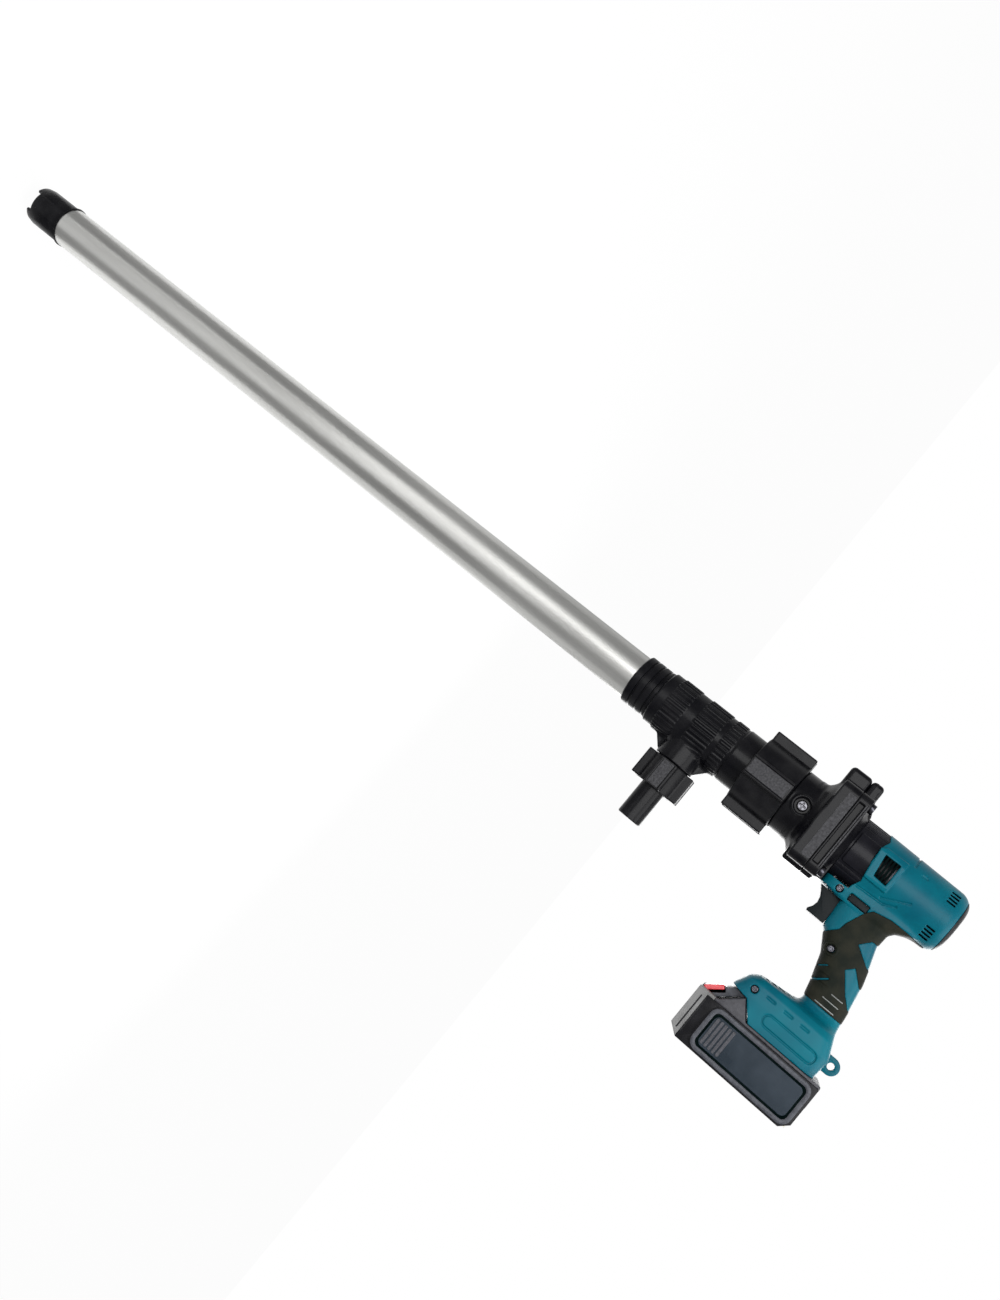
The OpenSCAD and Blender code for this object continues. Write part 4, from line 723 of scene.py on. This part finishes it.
def gear_field(x, y, z):
    """The gear case: a drum whose top has lengthwise strips, with a smooth panel and a bar on each
    side and dark channels between them."""
    strip_count, strip_h, top_turn, under_turn = 30, 1.5, 0.80, 2.3
    panel_x, bar_x, front = (-13.5, 13.6), (16.4, 18.8), SHELL_Z + 9
    rho, turn = np.hypot(x, y), np.arctan2(y, -x)
    ends = np.maximum(CASE_Z - z, z - np.maximum(front_edge(x), SHELL_Z) - 0.5)
    strips = step_up((np.cos(turn * strip_count) + 0.1) / 0.5) * step_up((top_turn - np.abs(turn)) / 0.04)
    under = step_up((np.abs(turn) - under_turn) / 0.1)
    drum = np.maximum(rho - CASE_R + strip_h - strip_h * np.maximum(strips, under), ends)
    skin = np.maximum(rho - CASE_R, ends)
    panel = box_field(x, np.abs(y), z, (panel_x[0], 0, CASE_Z + 2.4), (panel_x[1], 40, front), 1.6)
    bar = box_field(x, np.abs(y), z, (bar_x[0], 0, CASE_Z - 1), (bar_x[1], 40, front), 0.3)
    solid = join(drum, join(np.maximum(skin + 0.35, panel), np.maximum(skin, bar)))
    solid = join(solid, rod_field(rho, z, *CASE_SPIGOT_Z, CASE_SPIGOT_R))
    return cut(solid, rod_field(rho, z, CASE_SPIGOT_Z[0] - 3, CASE_SPIGOT_Z[1] + 3, CASE_BORE))


def gear_case():
    """The drum that shows, with its bored spigots into the flange and into the housing."""
    reach = CASE_R + 0.3
    level_set("gear_case_drum", gear_field, (-reach, -reach, CASE_SPIGOT_Z[0]),
              (reach, reach, CASE_SPIGOT_Z[1]), 0.6, "pump_frame", CASE_BLACK, ("gear_case",))
    rail("bell_rail", BELL_RAIL_Z)
    rail("clamp_rail", CLAMP_RAIL_Z)


# Motor unit

STATIONS = (  # place along the handle, front, rear, half width, squareness
    (14.2, -20.0, 60.0, 18.4, 5.0), (25.0, -20.0, 64.0, 19.4, 5.0), (28.5, -20.0, 55.2, 19.4, 5.0),
    (32.0, -20.0, 48.5, 19.0, 5.0), (36.4, -20.0, 45.3, 18.4, 4.0), (36.7, 0.5, 45.1, 18.0, 3.6),
    (48.0, 0.5, 44.5, 17.2, 3.0), (60.0, 0.8, 48.5, 16.8, 2.8), (64.0, 5.5, 49.8, 16.8, 2.8),
    (79.1, 14.8, 54.3, 17.0, 2.8), (101.0, 21.8, 58.3, 17.0, 2.8), (114.2, 25.0, 60.0, 17.5, 3.0),
    (118.6, 23.6, 60.6, 20.0, 3.4), (121.0, 14.0, 61.0, 25.0, 4.0), (122.4, -8.0, 61.3, 29.9, 5.0),
    (127.9, -16.0, 63.5, 33.3, 6.0), (140.0, -22.0, 69.0, 34.0, 6.0), (157.5, -22.0, 67.6, 34.0, 6.0))


def handle_field(x, y, z):
    """The handle and foot: at each place along X a rounded rectangle whose front, rear, half width and
    squareness are read between the stations, with each reading a mean over 2 mm."""
    at, front, rear, half, square = np.array(STATIONS).T
    read = [sum(np.interp(x + d, at, v) for d in (-1.0, 0.0, 1.0)) / 3 for v in (front, rear, half, square)]
    mid, deep = SHELL_Z + (read[0] + read[1]) / 2, (read[1] - read[0]) / 2
    size = (np.abs(y) / read[2]) ** read[3] + (np.abs(z - mid) / deep) ** read[3]
    solid = (size ** (1 / read[3]) - 1) * np.minimum(deep, read[2])
    return within(solid, x - HANDLE_LEN, at[0] - x)


def barrel_field(x, y, z):
    """The barrel: a radius that tapers to the rear and turns in by a quarter circle at its end."""
    rho = np.hypot(x, y)
    radius = BARREL_R - REAR_TAPER * np.clip((z - SHELL_Z) / (BARREL_LEN - REAR_ROUND), 0, 1)
    p, q = rho - radius + REAR_ROUND, z - REAR_Z + REAR_ROUND
    rear = np.hypot(np.maximum(p, 0), np.maximum(q, 0)) + np.minimum(np.maximum(p, q), 0) - REAR_ROUND
    return np.maximum(rear, SHELL_Z - z)


def place_on(points):
    """Outline points given as shares of the barrel's length and the handle's length, as (Z, X)."""
    return np.array([(SHELL_Z + a * BARREL_LEN, b * HANDLE_LEN) for a, b in points])


RUBBER_ZONE = place_on([
    (0.32, 0.185), (0.268, 0.216), (0.19, 0.313), (0.175, 0.358), (0.07, 0.417), (0.0, 0.43),
    (0.0, 0.714), (0.97, 0.714), (0.97, 0.165), (0.50, 0.165)])
UPPER_PATCH = place_on([(0.40, 0.358), (0.487, 0.304), (0.85, 0.29), (0.85, 0.43), (0.60, 0.423)])
LOWER_PATCH = place_on([
    (0.45, 0.495), (0.52, 0.457), (0.66, 0.522), (0.95, 0.53), (0.95, 0.665), (0.70, 0.64),
    (0.596, 0.59)])
SLITS = (((1037.8, 99.5), (1046.7, 91.7), 0.7), ((1034.8, 88.2), (1040.3, 83.5), 0.45))
RIDGES = ((110.6, 1049.0, 1066.0), (104.9, 1052.0, 1066.0), (99.2, 1056.0, 1066.0))
CHIN = place_on([(-0.32, 0.893), (-0.085, 0.908), (0.072, 1.001), (0.072, 1.1), (-0.32, 1.1)])
BAND_Z = 1092.6


def zone_field(x, z):
    """The rubber's zone with its two windows and two slits left out."""
    patches = join(outline_field(z, x, UPPER_PATCH), outline_field(z, x, LOWER_PATCH))
    for start, end, half in SLITS:
        patches = join(patches, line_field(z, x, start, end, half))
    return cut(outline_field(z, x, RUBBER_ZONE), patches)


def body_field(x, y, z):
    """Barrel and handle as one moulding, with a fillet where they meet."""
    return join(barrel_field(x, y, z), handle_field(x, y, z), 3.0)


SCREWS = ((31.7, 1011.0, 14.9), (72.3, 1034.5, 13.2), (133.9, 1009.6, 29.8))
SCREW_WELL = 3.3
WINDOW = np.array([(1021.8, -10.6), (1036.0, -10.8), (1036.0, 9.0), (1024.4, 8.2)])
WINDOW_FRAME = np.array([(1016.0, -13.0), (1020.0, -15.6), (1040.0, -16.0), (1039.0, 13.4),
                         (1018.6, 13.0)])
PILL_X = (141.2, 151.0)
PILL_Z = (1027.5, 1075.5)
DASHES = (1024.0, 1040.4, 1055.7)
GROOVES = (((1019.0, 21.8), (1043.0, 20.4)), ((1038.4, 17.6), (1059.0, 7.4)),
           ((1043.0, 20.4), (1052.0, 16.0)))
ROOMS = (  # dock, shoe, trigger and strap root, each as two corners
    ((142.9, -27.6, 1021.9), (170.0, 27.6, 1078.1)), ((148.9, -22.6, 980.0), (170.0, 22.6, 1023.0)),
    ((36.7, -8.9, 985.0), (61.2, 8.9, 1026.0)), ((135.1, -4.1, 1078.0), (149.7, 4.1, 1100.0)))
SELECTOR_SLOT = ((28.4, -50.0, 1020.2), (35.0, 50.0, 1037.8))


def pill_groove(x, z):
    """Seen from the side, the round-ended groove on the foot: a band along a long oval's edge."""
    groove_half, r, mid = 0.7, (PILL_X[1] - PILL_X[0]) / 2, sum(PILL_X) / 2
    return np.abs(line_field(z, x, (PILL_Z[0] + r, mid), (PILL_Z[1] - r, mid), r)) - groove_half


def housing_skin(x, y, z):
    """The moulding's outside: barrel and handle with a raised frame round each window, the groove and
    dashes on the foot, the panel lines, a notch on top, and the places sunk for rubber and band."""
    side, face, groove = np.abs(y), 20.0, 0.75
    body = body_field(x, y, z)
    pad = within(outline_field(z, x, WINDOW_FRAME), side - BARREL_R - 0.8, 10.0 - side)
    solid = join(body, np.maximum(pad, body - 3.0), 0.8)
    solid = cut(solid, np.where(side > face, np.maximum(pill_groove(x, z), -body - 0.9), 9.0), 0.5)
    for z0 in DASHES:
        dash = box_field(x, 0, z, (131.3, -1, z0 - 4.2), (133.1, 1, z0 + 4.2), 0.7)
        solid = cut(solid, np.where(side > face, np.maximum(dash, -body - 0.9), 9.0), 0.3)
    for start, end in GROOVES:
        solid = cut(solid, within(line_field(z, x, start, end, groove), -body - 0.8, 12 - side), 0.4)
    notch = within(np.abs(z - 1044.6) - 0.9, -body - 1.0, x + 17.5)
    solid = cut(solid, notch, 0.4)
    mark = box_field(x, side, z, (-16.4, 10, 1052.4), (-14.8, 40, 1058.0), 0.6)
    solid = cut(solid, np.maximum(mark, -body - 0.8), 0.3)
    solid = np.maximum(solid, np.where(x > CASE_R + 0.3, -9.0, front_edge(x) - z))
    sunk = -body - RUBBER_T
    solid = cut(solid, np.maximum(BAND_Z - z, sunk), 0.2)
    return cut(solid, np.maximum(zone_field(x, z), sunk), 0.2)


def housing_field(x, y, z):
    """The whole housing before it is split: its skin, hollowed to the wall, and cut for the gear case,
    dock, trigger, selector, windows, chin, vents and screws."""
    rho = np.hypot(x, y)
    hollow = join(barrel_field(x, y, z) + WALL, handle_field(x, y, z) + WALL + 0.6)
    hollow = join(hollow, rod_field(rho, z, 980, SHELL_Z + 0.6, CASE_R + PLAY))
    for lo, hi in ROOMS:
        hollow = join(hollow, box_field(x, y, z, lo, hi))
    hollow = join(hollow, box_field(x, y, z, *SELECTOR_SLOT, 0.6))
    for opening in (WINDOW, CHIN):
        hollow = join(hollow, outline_field(z, x, opening))
    for s in (-1, 1):
        for k in range(4):
            mid = s * VENT_X + (k - 1.5) * VENT_PITCH
            lo, hi = (mid - VENT_HALF, -50, VENT_Z[0]), (mid + VENT_HALF, 50, VENT_Z[1])
            hollow = join(hollow, box_field(x, y, z, lo, hi, 0.5))
    for sx, sz, seat in SCREWS:
        hollow = join(hollow, rod_field(np.hypot(x - sx, z - sz), -y, seat - 0.1, 60, SCREW_WELL))
    return cut(housing_skin(x, y, z), hollow)


def housing():
    """Two halves of the one field, each cut a little short of the middle so that a fine line shows."""
    seam = 0.12
    for s, name, node in ((-1, "shell_left", "housing_left"), (1, "shell_right", "housing_right")):
        def field(x, y, z, s=s):
            return np.maximum(housing_field(x, y, z), seam - s * y)
        lo = (-29.0, -FOOT_HALF - 1.0 if s < 0 else 0.0, 990.0)
        hi = (HANDLE_LEN, 0.0 if s < 0 else FOOT_HALF + 1.0, REAR_Z)
        level_set(name, field, lo, hi, 0.74, "pump_frame", TEAL, (node,))


def rubber_field(x, y, z):
    """The overmould: the handle's skin inside its zone, a little proud, with five slanting channels
    low on each side and a ring round the screw."""
    channels, first, pitch, channel_t = 5, 71.0, 6.6, 0.45
    skin = body_field(x, y, z)
    zone = zone_field(x, z)
    proud = np.clip(-zone * 0.8, 0, PROUD)
    for k in range(channels):
        line = np.abs(x - first - pitch * k)
        top = 11.0 + 2.0 * k - (z - 1024.0 - 1.9 * k)
        channel = step_up((0.7 - line) / 0.3) * step_up(top / 2.0)
        proud = proud - channel_t * channel * step_up((np.abs(y) - 6) / 3)
    across = np.hypot(x - SCREWS[1][0], z - SCREWS[1][1])
    proud = proud + 0.6 * step_up((1.0 - np.abs(across - 4.8)) / 0.5) * (y < 0)
    solid = within(skin - proud, -skin - RUBBER_T + 0.05, zone, -barrel_field(x, y, z) - RUBBER_T)
    return cut(solid, rod_field(across, -y, 5.0, 60, SCREW_WELL))


def ridge_field(x, y, z):
    """Three fine raised ridges across each side of the grip, near the foot, in a lighter grey that is painted
    highlight.
    """
    skin, ridge_half, ridge_h = body_field(x, y, z), 0.45, 0.75
    lines = np.minimum.reduce([line_field(z, x, (z0, at), (z1, at), ridge_half) for at, z0, z1 in RIDGES])
    return within(lines, skin - ridge_h, 0.1 - skin, 9.0 - np.abs(y))


def grip_rubber():
    seam = 0.08
    for s, name, node in ((-1, "grip_left", "grip_rubber_left"), (1, "grip_right", "grip_rubber_right")):
        def field(x, y, z, s=s):
            return np.maximum(rubber_field(x, y, z), seam - s * y)
        lo = (25.0, -21.0 if s < 0 else 0.0, 1014.0)
        hi = (113.0, 0.0 if s < 0 else 21.0, 1092.0)
        level_set(name, field, lo, hi, 0.55, "pump_frame", RUBBER, (node,))
        lo = (97.0, -20.0 if s < 0 else 8.0, 1046.0)
        hi = (113.0, -8.0 if s < 0 else 20.0, 1069.0)
        level_set(name + "_ridges", ridge_field, lo, hi, 0.3, "pump_frame", RIDGE_HIGHLIGHT)


def rear_band():
    """A rubber cap round the barrel's end, a little proud of the shells."""
    def field(x, y, z):
        skin = barrel_field(x, y, z)
        return within(skin - PROUD, -skin - RUBBER_T + 0.05, BAND_Z - z + 0.05)
    reach = BARREL_R + 0.2
    level_set("rear_band", field, (-reach, -reach, 1090.0), (reach, reach, REAR_Z + PROUD), 0.6,
              "pump_frame", NUT_BLACK, ("rear_bumper",))


def small_parts():
    """Nodes whose own solids are right get rounded edges and a finish."""
    copied("trigger", TRIGGER_GREY, 1.0)
    copied("selector", TRIGGER_GREY, 0.8)
    copied("lanyard_loop", TEAL, 0.5)
    # The vent grilles are painted shade: near black without gloss, so that the vents read dark.
    copied("vent_grilles", SHADE_BLACK, 0.15)
    copied("flange_bolts", OXIDE, 0.2)


def on_slope(a, b):
    """A point (Z, X) at a distance a up the pack's slope and b out of it."""
    c, s = math.cos(SLOPE_TURN), math.sin(SLOPE_TURN)
    return PACK_Z + a * c - b * s, SLOPE_X - a * s - b * c


def release_button():
    """A slab square to the slope, as wide as the latch, whose red side shows above its open pocket, and
    the stem below its middle."""
    start, end, proud, deep, stem = PRESS_LOW + 2.0, PRESS_HIGH - 0.7, 1.8, -2.2, -4.5
    for name, low, high, half, material, edge, node in (
            ("release_button_cap", deep, proud, 19.6, BUTTON_RED, 0.8, ("release_button",)),
            # The stem is painted shade: near black without gloss where it shows in the pocket.
            ("release_button_stem", stem, -1.0, 6.0, SHADE_BLACK, 0.3, ())):
        points = [on_slope(start, low), on_slope(start, high), on_slope(end, high), on_slope(end, low)]
        slab(name, points, -half, half, "release_button", material, edge, node)


def pocket_field(x, y, z):
    """The button's pocket: open across the latch, and deeper in the middle for the stem."""
    c, s = math.cos(SLOPE_TURN), math.sin(SLOPE_TURN)
    a = (z - PACK_Z) * c - (x - SLOPE_X) * s
    b = -(z - PACK_Z) * s - (x - SLOPE_X) * c
    wide_deep, wide_half, stem_deep, stem_half = 4.3, 21.0, 6.6, 6.5
    along = np.maximum(PRESS_LOW - a, a - PRESS_HIGH)
    wide = within(along, -wide_deep - b, np.abs(y) - wide_half)
    return join(wide, within(along, -stem_deep - b, np.abs(y) - stem_half))


def pack_front():
    """The front block across the pack and the latch behind the slope, each with the button's pocket."""
    front_end, shelf_end, step_x, latch_end = 985.25, 991.3, SLOPE_X + 0.05, 1004.6
    block = np.array([(PACK_Z, SLOPE_X), (PACK_Z, PACK_END_X - 7.0), (front_end, PACK_END_X - 0.05),
                      (front_end, step_x), (shelf_end, step_x), (shelf_end, PACK_X),
                      (PACK_Z + 0.05, PACK_X)])
    latch = np.array([(front_end + 0.05, SLOPE_X), on_slope(0, 0), on_slope(28.4, 0), (latch_end, 143.0),
                      (1007.8, 143.4), (1007.8, 146.0), (latch_end, 146.3), (shelf_end, PACK_X)])
    for name, shape, half, look, node in (
            ("front_block", block, PACK_HALF, PACK_GREY, ("battery_front",)),
            ("front_latch", latch, 20.0, BEZEL, ())):
        def field(x, y, z, shape=shape, half=half):
            solid = np.maximum(outline_field(z, x, shape), np.abs(y) - half)
            return cut(solid, pocket_field(x, y, z), 0.3)
        level_set(name, field, (142.0, -half, PACK_Z), (PACK_END_X, half, 1008.0), 0.6, "battery",
                  look, node)


def vent_painted_shade():
    """Painted shade: a near-black sleeve behind the rear slots, so that they read dark."""
    start, end, inner, outer = VENT_Z[0] - 3, VENT_Z[1] + 1, 23.9, 24.3
    turned("vent_painted_shade", [(start, inner), (start, outer), (end, outer), (end, inner)],
           "pump_frame", SHADE_BLACK)


def pan_head(x, y, z, centre, s, r, t):
    """A rod with a domed rim and a cross cut into its face, which looks towards s along Y."""
    slot_half, slot_deep, arm = 0.5, 1.2, 0.62 * r
    u, v, w = np.abs(x - centre[0]), np.abs(z - centre[2]), s * (y - centre[1])
    dome = rod_field(np.hypot(u, v), w, -1.0, t, r, min(1.4, t - 0.3))
    cross = np.minimum(np.maximum(u - slot_half, v - arm), np.maximum(v - slot_half, u - arm))
    return cut(dome, np.maximum(cross, t - slot_deep - w), 0.15)


def screw_heads():
    """A pan head in each of the bell's recesses and in the housing's three wells."""
    bell_r, bell_t, housing_r, housing_t = 4.6, 2.6, 3.2, 2.2
    rows = [("bell_screw_" + side, 0.0, s * (NECK_R - RECESS_T), RECESS_Z, s, bell_r, bell_t, 0.3, BRIGHT)
            for s, side in ((-1, "left"), (1, "right"))]
    rows += [("housing_screw_%d" % (k + 1), sx, -seat, sz, -1, housing_r, housing_t, 0.25, OXIDE)
             for k, (sx, sz, seat) in enumerate(SCREWS)]
    nodes = {"bell_screw_left": ("bell_screws",), "housing_screw_1": ("housing_screws",)}
    for name, x0, y0, z0, s, r, t, step, material in rows:
        ends = sorted((y0 - s, y0 + t * s))
        level_set(name, lambda x, y, z: pan_head(x, y, z, (x0, y0, z0), s, r, t),
                  (x0 - r, ends[0], z0 - r), (x0 + r, ends[1], z0 + r), step, "pump_frame",
                  material, nodes.get(name, ()))


# Battery

def ring_on_side(name, lo, hi, r, profile, s, material):
    """A closed profile of (inset, y) carried round a rounded rectangle in (Z, X)."""
    rings = []
    for inset, y in profile:
        inner = max(r - inset, 0.6)
        path = rounded_outline((lo[0] + inset, lo[1] + inset), (hi[0] - inset, hi[1] - inset), inner)
        rings.append(np.stack([path[:, 1], np.full(len(path), s * y), path[:, 0]], -1))
    faces = ring_faces(len(rings), len(rings[0]), True)
    piece = new_piece(name, np.concatenate(rings), faces, "battery", material)
    return smooth(piece, 40)


def battery_side(s, side):
    """The pack's side: a crowned grey bezel, a channel of painted shade, and a slate panel with five ribs."""
    bed_in, panel_in, rib_in, rib_w, rib_pitch, rib_h = 4.3, 6.4, 1.6, 2.5, 3.7, 0.9
    lo, hi = np.array(FRAME_LO), np.array(FRAME_HI)
    crown = [(0.9, -0.2), (1.0, 0.25), (1.7, 0.7), (3.6, 0.7), (4.4, 0.3), (4.6, -0.2)]
    ring_on_side("bezel_" + side, lo, hi, FRAME_ROUND, [(a, FRAME_HALF + b) for a, b in crown], s, BEZEL)
    bed = rounded_outline(lo + bed_in, hi - bed_in, 5.6)
    # The bed is painted shade: near black without gloss, so that the channel between bezel and panel reads
    # black.
    slab("panel_bed_" + side, bed, s * (FRAME_HALF - 0.7), s * (FRAME_HALF - 0.12), "battery",
         SHADE_BLACK, 0.1, ("battery_side_" + side,))
    panel = rounded_outline(lo + panel_in, hi - panel_in, 4.4)
    slab("side_panel_" + side, panel, s * (FRAME_HALF - 0.3), s * (FRAME_HALF + 0.35), "battery",
         SLATE, 0.3)
    low, high = lo + panel_in + rib_in, hi - panel_in - rib_in
    for k in range(5):
        z0 = low[0] + rib_pitch * k
        rib = rounded_outline((z0, low[1]), (z0 + rib_w, high[1]), 0.9, 5)
        slab("panel_rib_%s_%d" % (side, k + 1), rib, s * FRAME_HALF, s * (FRAME_HALF + rib_h), "battery",
             RIBBED, 0.3)
    for k, z0 in enumerate((981.3, 985.5)):
        line = rounded_outline((z0, 163.4), (z0 + 1.2, 195.0), 0.5, 4)
        slab("front_line_%s_%d" % (side, k + 1), line, s * (PACK_HALF - 0.2), s * (PACK_HALF + 0.12),
             "battery", PACK, 0.08)


def battery():
    """Cover, tray and front with rounded edges, and the two dressed sides."""
    copied("battery_cover", COVER, 0.8)
    copied("battery_tray", PACK, 0.8)
    pack_front()
    battery_side(-1, "left")
    battery_side(1, "right")


suction_tube()
intake()
collar()
pump_head()
union_nut()
outlet_nut()
hose_tail()
bell_housing()
clamp_flange()
gear_case()
housing()
grip_rubber()
rear_band()
small_parts()
screw_heads()
release_button()
vent_painted_shade()
battery()


# Floor, light and camera

def bare_material(name):
    """A material for the stage: its nodes, its links and its one output node."""
    material = bpy.data.materials.new(name)
    material.use_nodes = True
    nodes = material.node_tree.nodes
    nodes.clear()
    return material, nodes, material.node_tree.links, nodes.new("ShaderNodeOutputMaterial")


def sheet(name, verts, faces, material):
    """A mesh of points in metres, for the stage."""
    mesh = bpy.data.meshes.new(name)
    mesh.from_pydata(np.asarray(verts).tolist(), [], np.asarray(faces).tolist())
    mesh.materials.append(material)
    thing = bpy.data.objects.new(name, mesh)
    bpy.context.scene.collection.objects.link(thing)
    return thing


def floor():
    """A pale floor under the feet: plain diffuse, and near white where the camera looks at it."""
    half, z = 6.0, FLOOR_Z
    material, nodes, links, out = bare_material("pale_floor")
    matt = add(nodes, "BsdfDiffuse", Color=(0.86, 0.86, 0.86, 1))
    glow = add(nodes, "Emission", Color=(1, 1, 1, 1))
    path = add(nodes, "LightPath")
    share = add(nodes, "Math")
    share.operation = "MULTIPLY"
    share.inputs[1].default_value = 0.95
    mix = add(nodes, "MixShader")
    links.new(path.outputs["Is Camera Ray"], share.inputs[0])
    links.new(share.outputs[0], mix.inputs["Fac"])
    links.new(matt.outputs[0], mix.inputs[1])
    links.new(glow.outputs[0], mix.inputs[2])
    links.new(mix.outputs[0], out.inputs["Surface"])
    corners = [(-half, -half, z), (half, -half, z), (half, half, z), (-half, half, z)]
    sheet("floor", corners, [(0, 1, 2, 3)], material)


def surroundings():
    """White to the camera and in reflections, and a softer white as light."""
    world = bpy.data.worlds.new("studio")
    bpy.context.scene.world = world
    world.use_nodes = True
    nodes, links = world.node_tree.nodes, world.node_tree.links
    nodes.clear()
    out = nodes.new("ShaderNodeOutputWorld")
    path = add(nodes, "LightPath")
    seen = path.outputs["Is Camera Ray"]
    for other in ("Is Glossy Ray", "Is Transmission Ray"):
        either = add(nodes, "Math")
        either.operation = "MAXIMUM"
        links.new(seen, either.inputs[0])
        links.new(path.outputs[other], either.inputs[1])
        seen = either.outputs[0]
    soft = add(nodes, "Background", Color=(1, 1, 1, 1), Strength=AMBIENT)
    white = add(nodes, "Background", Color=(1, 1, 1, 1), Strength=1.0)
    mix = add(nodes, "MixShader")
    links.new(seen, mix.inputs["Fac"])
    links.new(soft.outputs[0], mix.inputs[1])
    links.new(white.outputs[0], mix.inputs[2])
    links.new(mix.outputs[0], out.inputs["Surface"])


def lamp(name, at, aim, width, height, power):
    """A soft rectangular light that faces the point it is aimed at."""
    data = bpy.data.lights.new(name, "AREA")
    data.shape = "RECTANGLE"
    data.size, data.size_y = width, height
    data.energy = power
    thing = bpy.data.objects.new(name, data)
    thing.location = at
    thing.rotation_mode = "QUATERNION"
    thing.rotation_quaternion = (Vector(aim) - Vector(at)).to_track_quat("-Z", "Y")
    bpy.context.scene.collection.objects.link(thing)


def card(name, verts, faces, shade):
    """A plain card beside the pump that shows only in its gloss, and gives the tube its long streaks."""
    material, nodes, links, out = bare_material(name + "_card")
    glow = add(nodes, "Emission", Color=(shade, shade, shade, 1))
    links.new(glow.outputs[0], out.inputs["Surface"])
    thing = sheet(name, verts, faces, material)
    thing.visible_camera = False
    thing.visible_shadow = False
    thing.visible_diffuse = False
    thing.visible_transmission = False


def arc(start, stop, count, r, z):
    """Points round the tube's axis. The turn is counted from the camera's side, in degrees to +X."""
    turn = np.radians(np.linspace(start, stop, count))
    return np.column_stack([np.sin(turn) * r, -np.cos(turn) * r, np.full(count, z)])


def arc_cards(name, start, stop, shade, fan_z, count=24, top=None):
    """A fan on the floor from close to the tube outwards, and a curved wall behind it up to the top."""
    near, far = 0.034, 0.9
    grid = ring_faces(2, count, False)[:-1]
    inner, outer = arc(start, stop, count, near, fan_z), arc(start, stop, count, far, fan_z)
    if top:
        card(name + "_wall", np.concatenate([outer, arc(start, stop, count, far, top)]), grid, shade)
    card(name + "_fan", np.concatenate([inner, outer]), grid, shade)


def lights():
    """Three softboxes light the pump. The cards show only in its gloss."""
    lamp("front_softbox", (-0.25, -1.7, 1.35), MIDDLE, 0.9, 1.9, 34.0)
    lamp("top_softbox", (0.2, -0.3, 2.3), (0.05, 0, 0.9), 1.4, 1.2, 22.0)
    lamp("rear_softbox", (0.5, 1.8, 1.2), MIDDLE, 1.4, 1.8, 26.0)
    arc_cards("handle_side", 36.0, 90.0, CARD_SHADE, -0.008, top=1.7)
    arc_cards("far_side", -98.0, -38.0, CARD_SHADE, -0.008, top=1.7)
    arc_cards("front", -32.0, 36.0, 0.78, -0.009, count=12)


def camera():
    """The measured camera: its place, the way it looks and which way its picture's right side points."""
    data = bpy.data.cameras.new("camera")
    data.sensor_fit = "HORIZONTAL"
    data.sensor_width = 36.0
    data.lens = FOCAL_PIXELS * data.sensor_width / FRAME_PIXELS
    thing = bpy.data.objects.new("camera", data)
    up = IMAGE_RIGHT.cross(LOOK).normalized()
    right = LOOK.cross(up).normalized()
    turn = Matrix((right, up, -LOOK)).transposed().to_4x4()
    thing.matrix_world = Matrix.Translation(CAMERA_AT) @ turn
    bpy.context.scene.collection.objects.link(thing)
    bpy.context.scene.camera = thing


floor()
surroundings()
lights()
camera()
bpy.context.scene.view_settings.view_transform = "Standard"
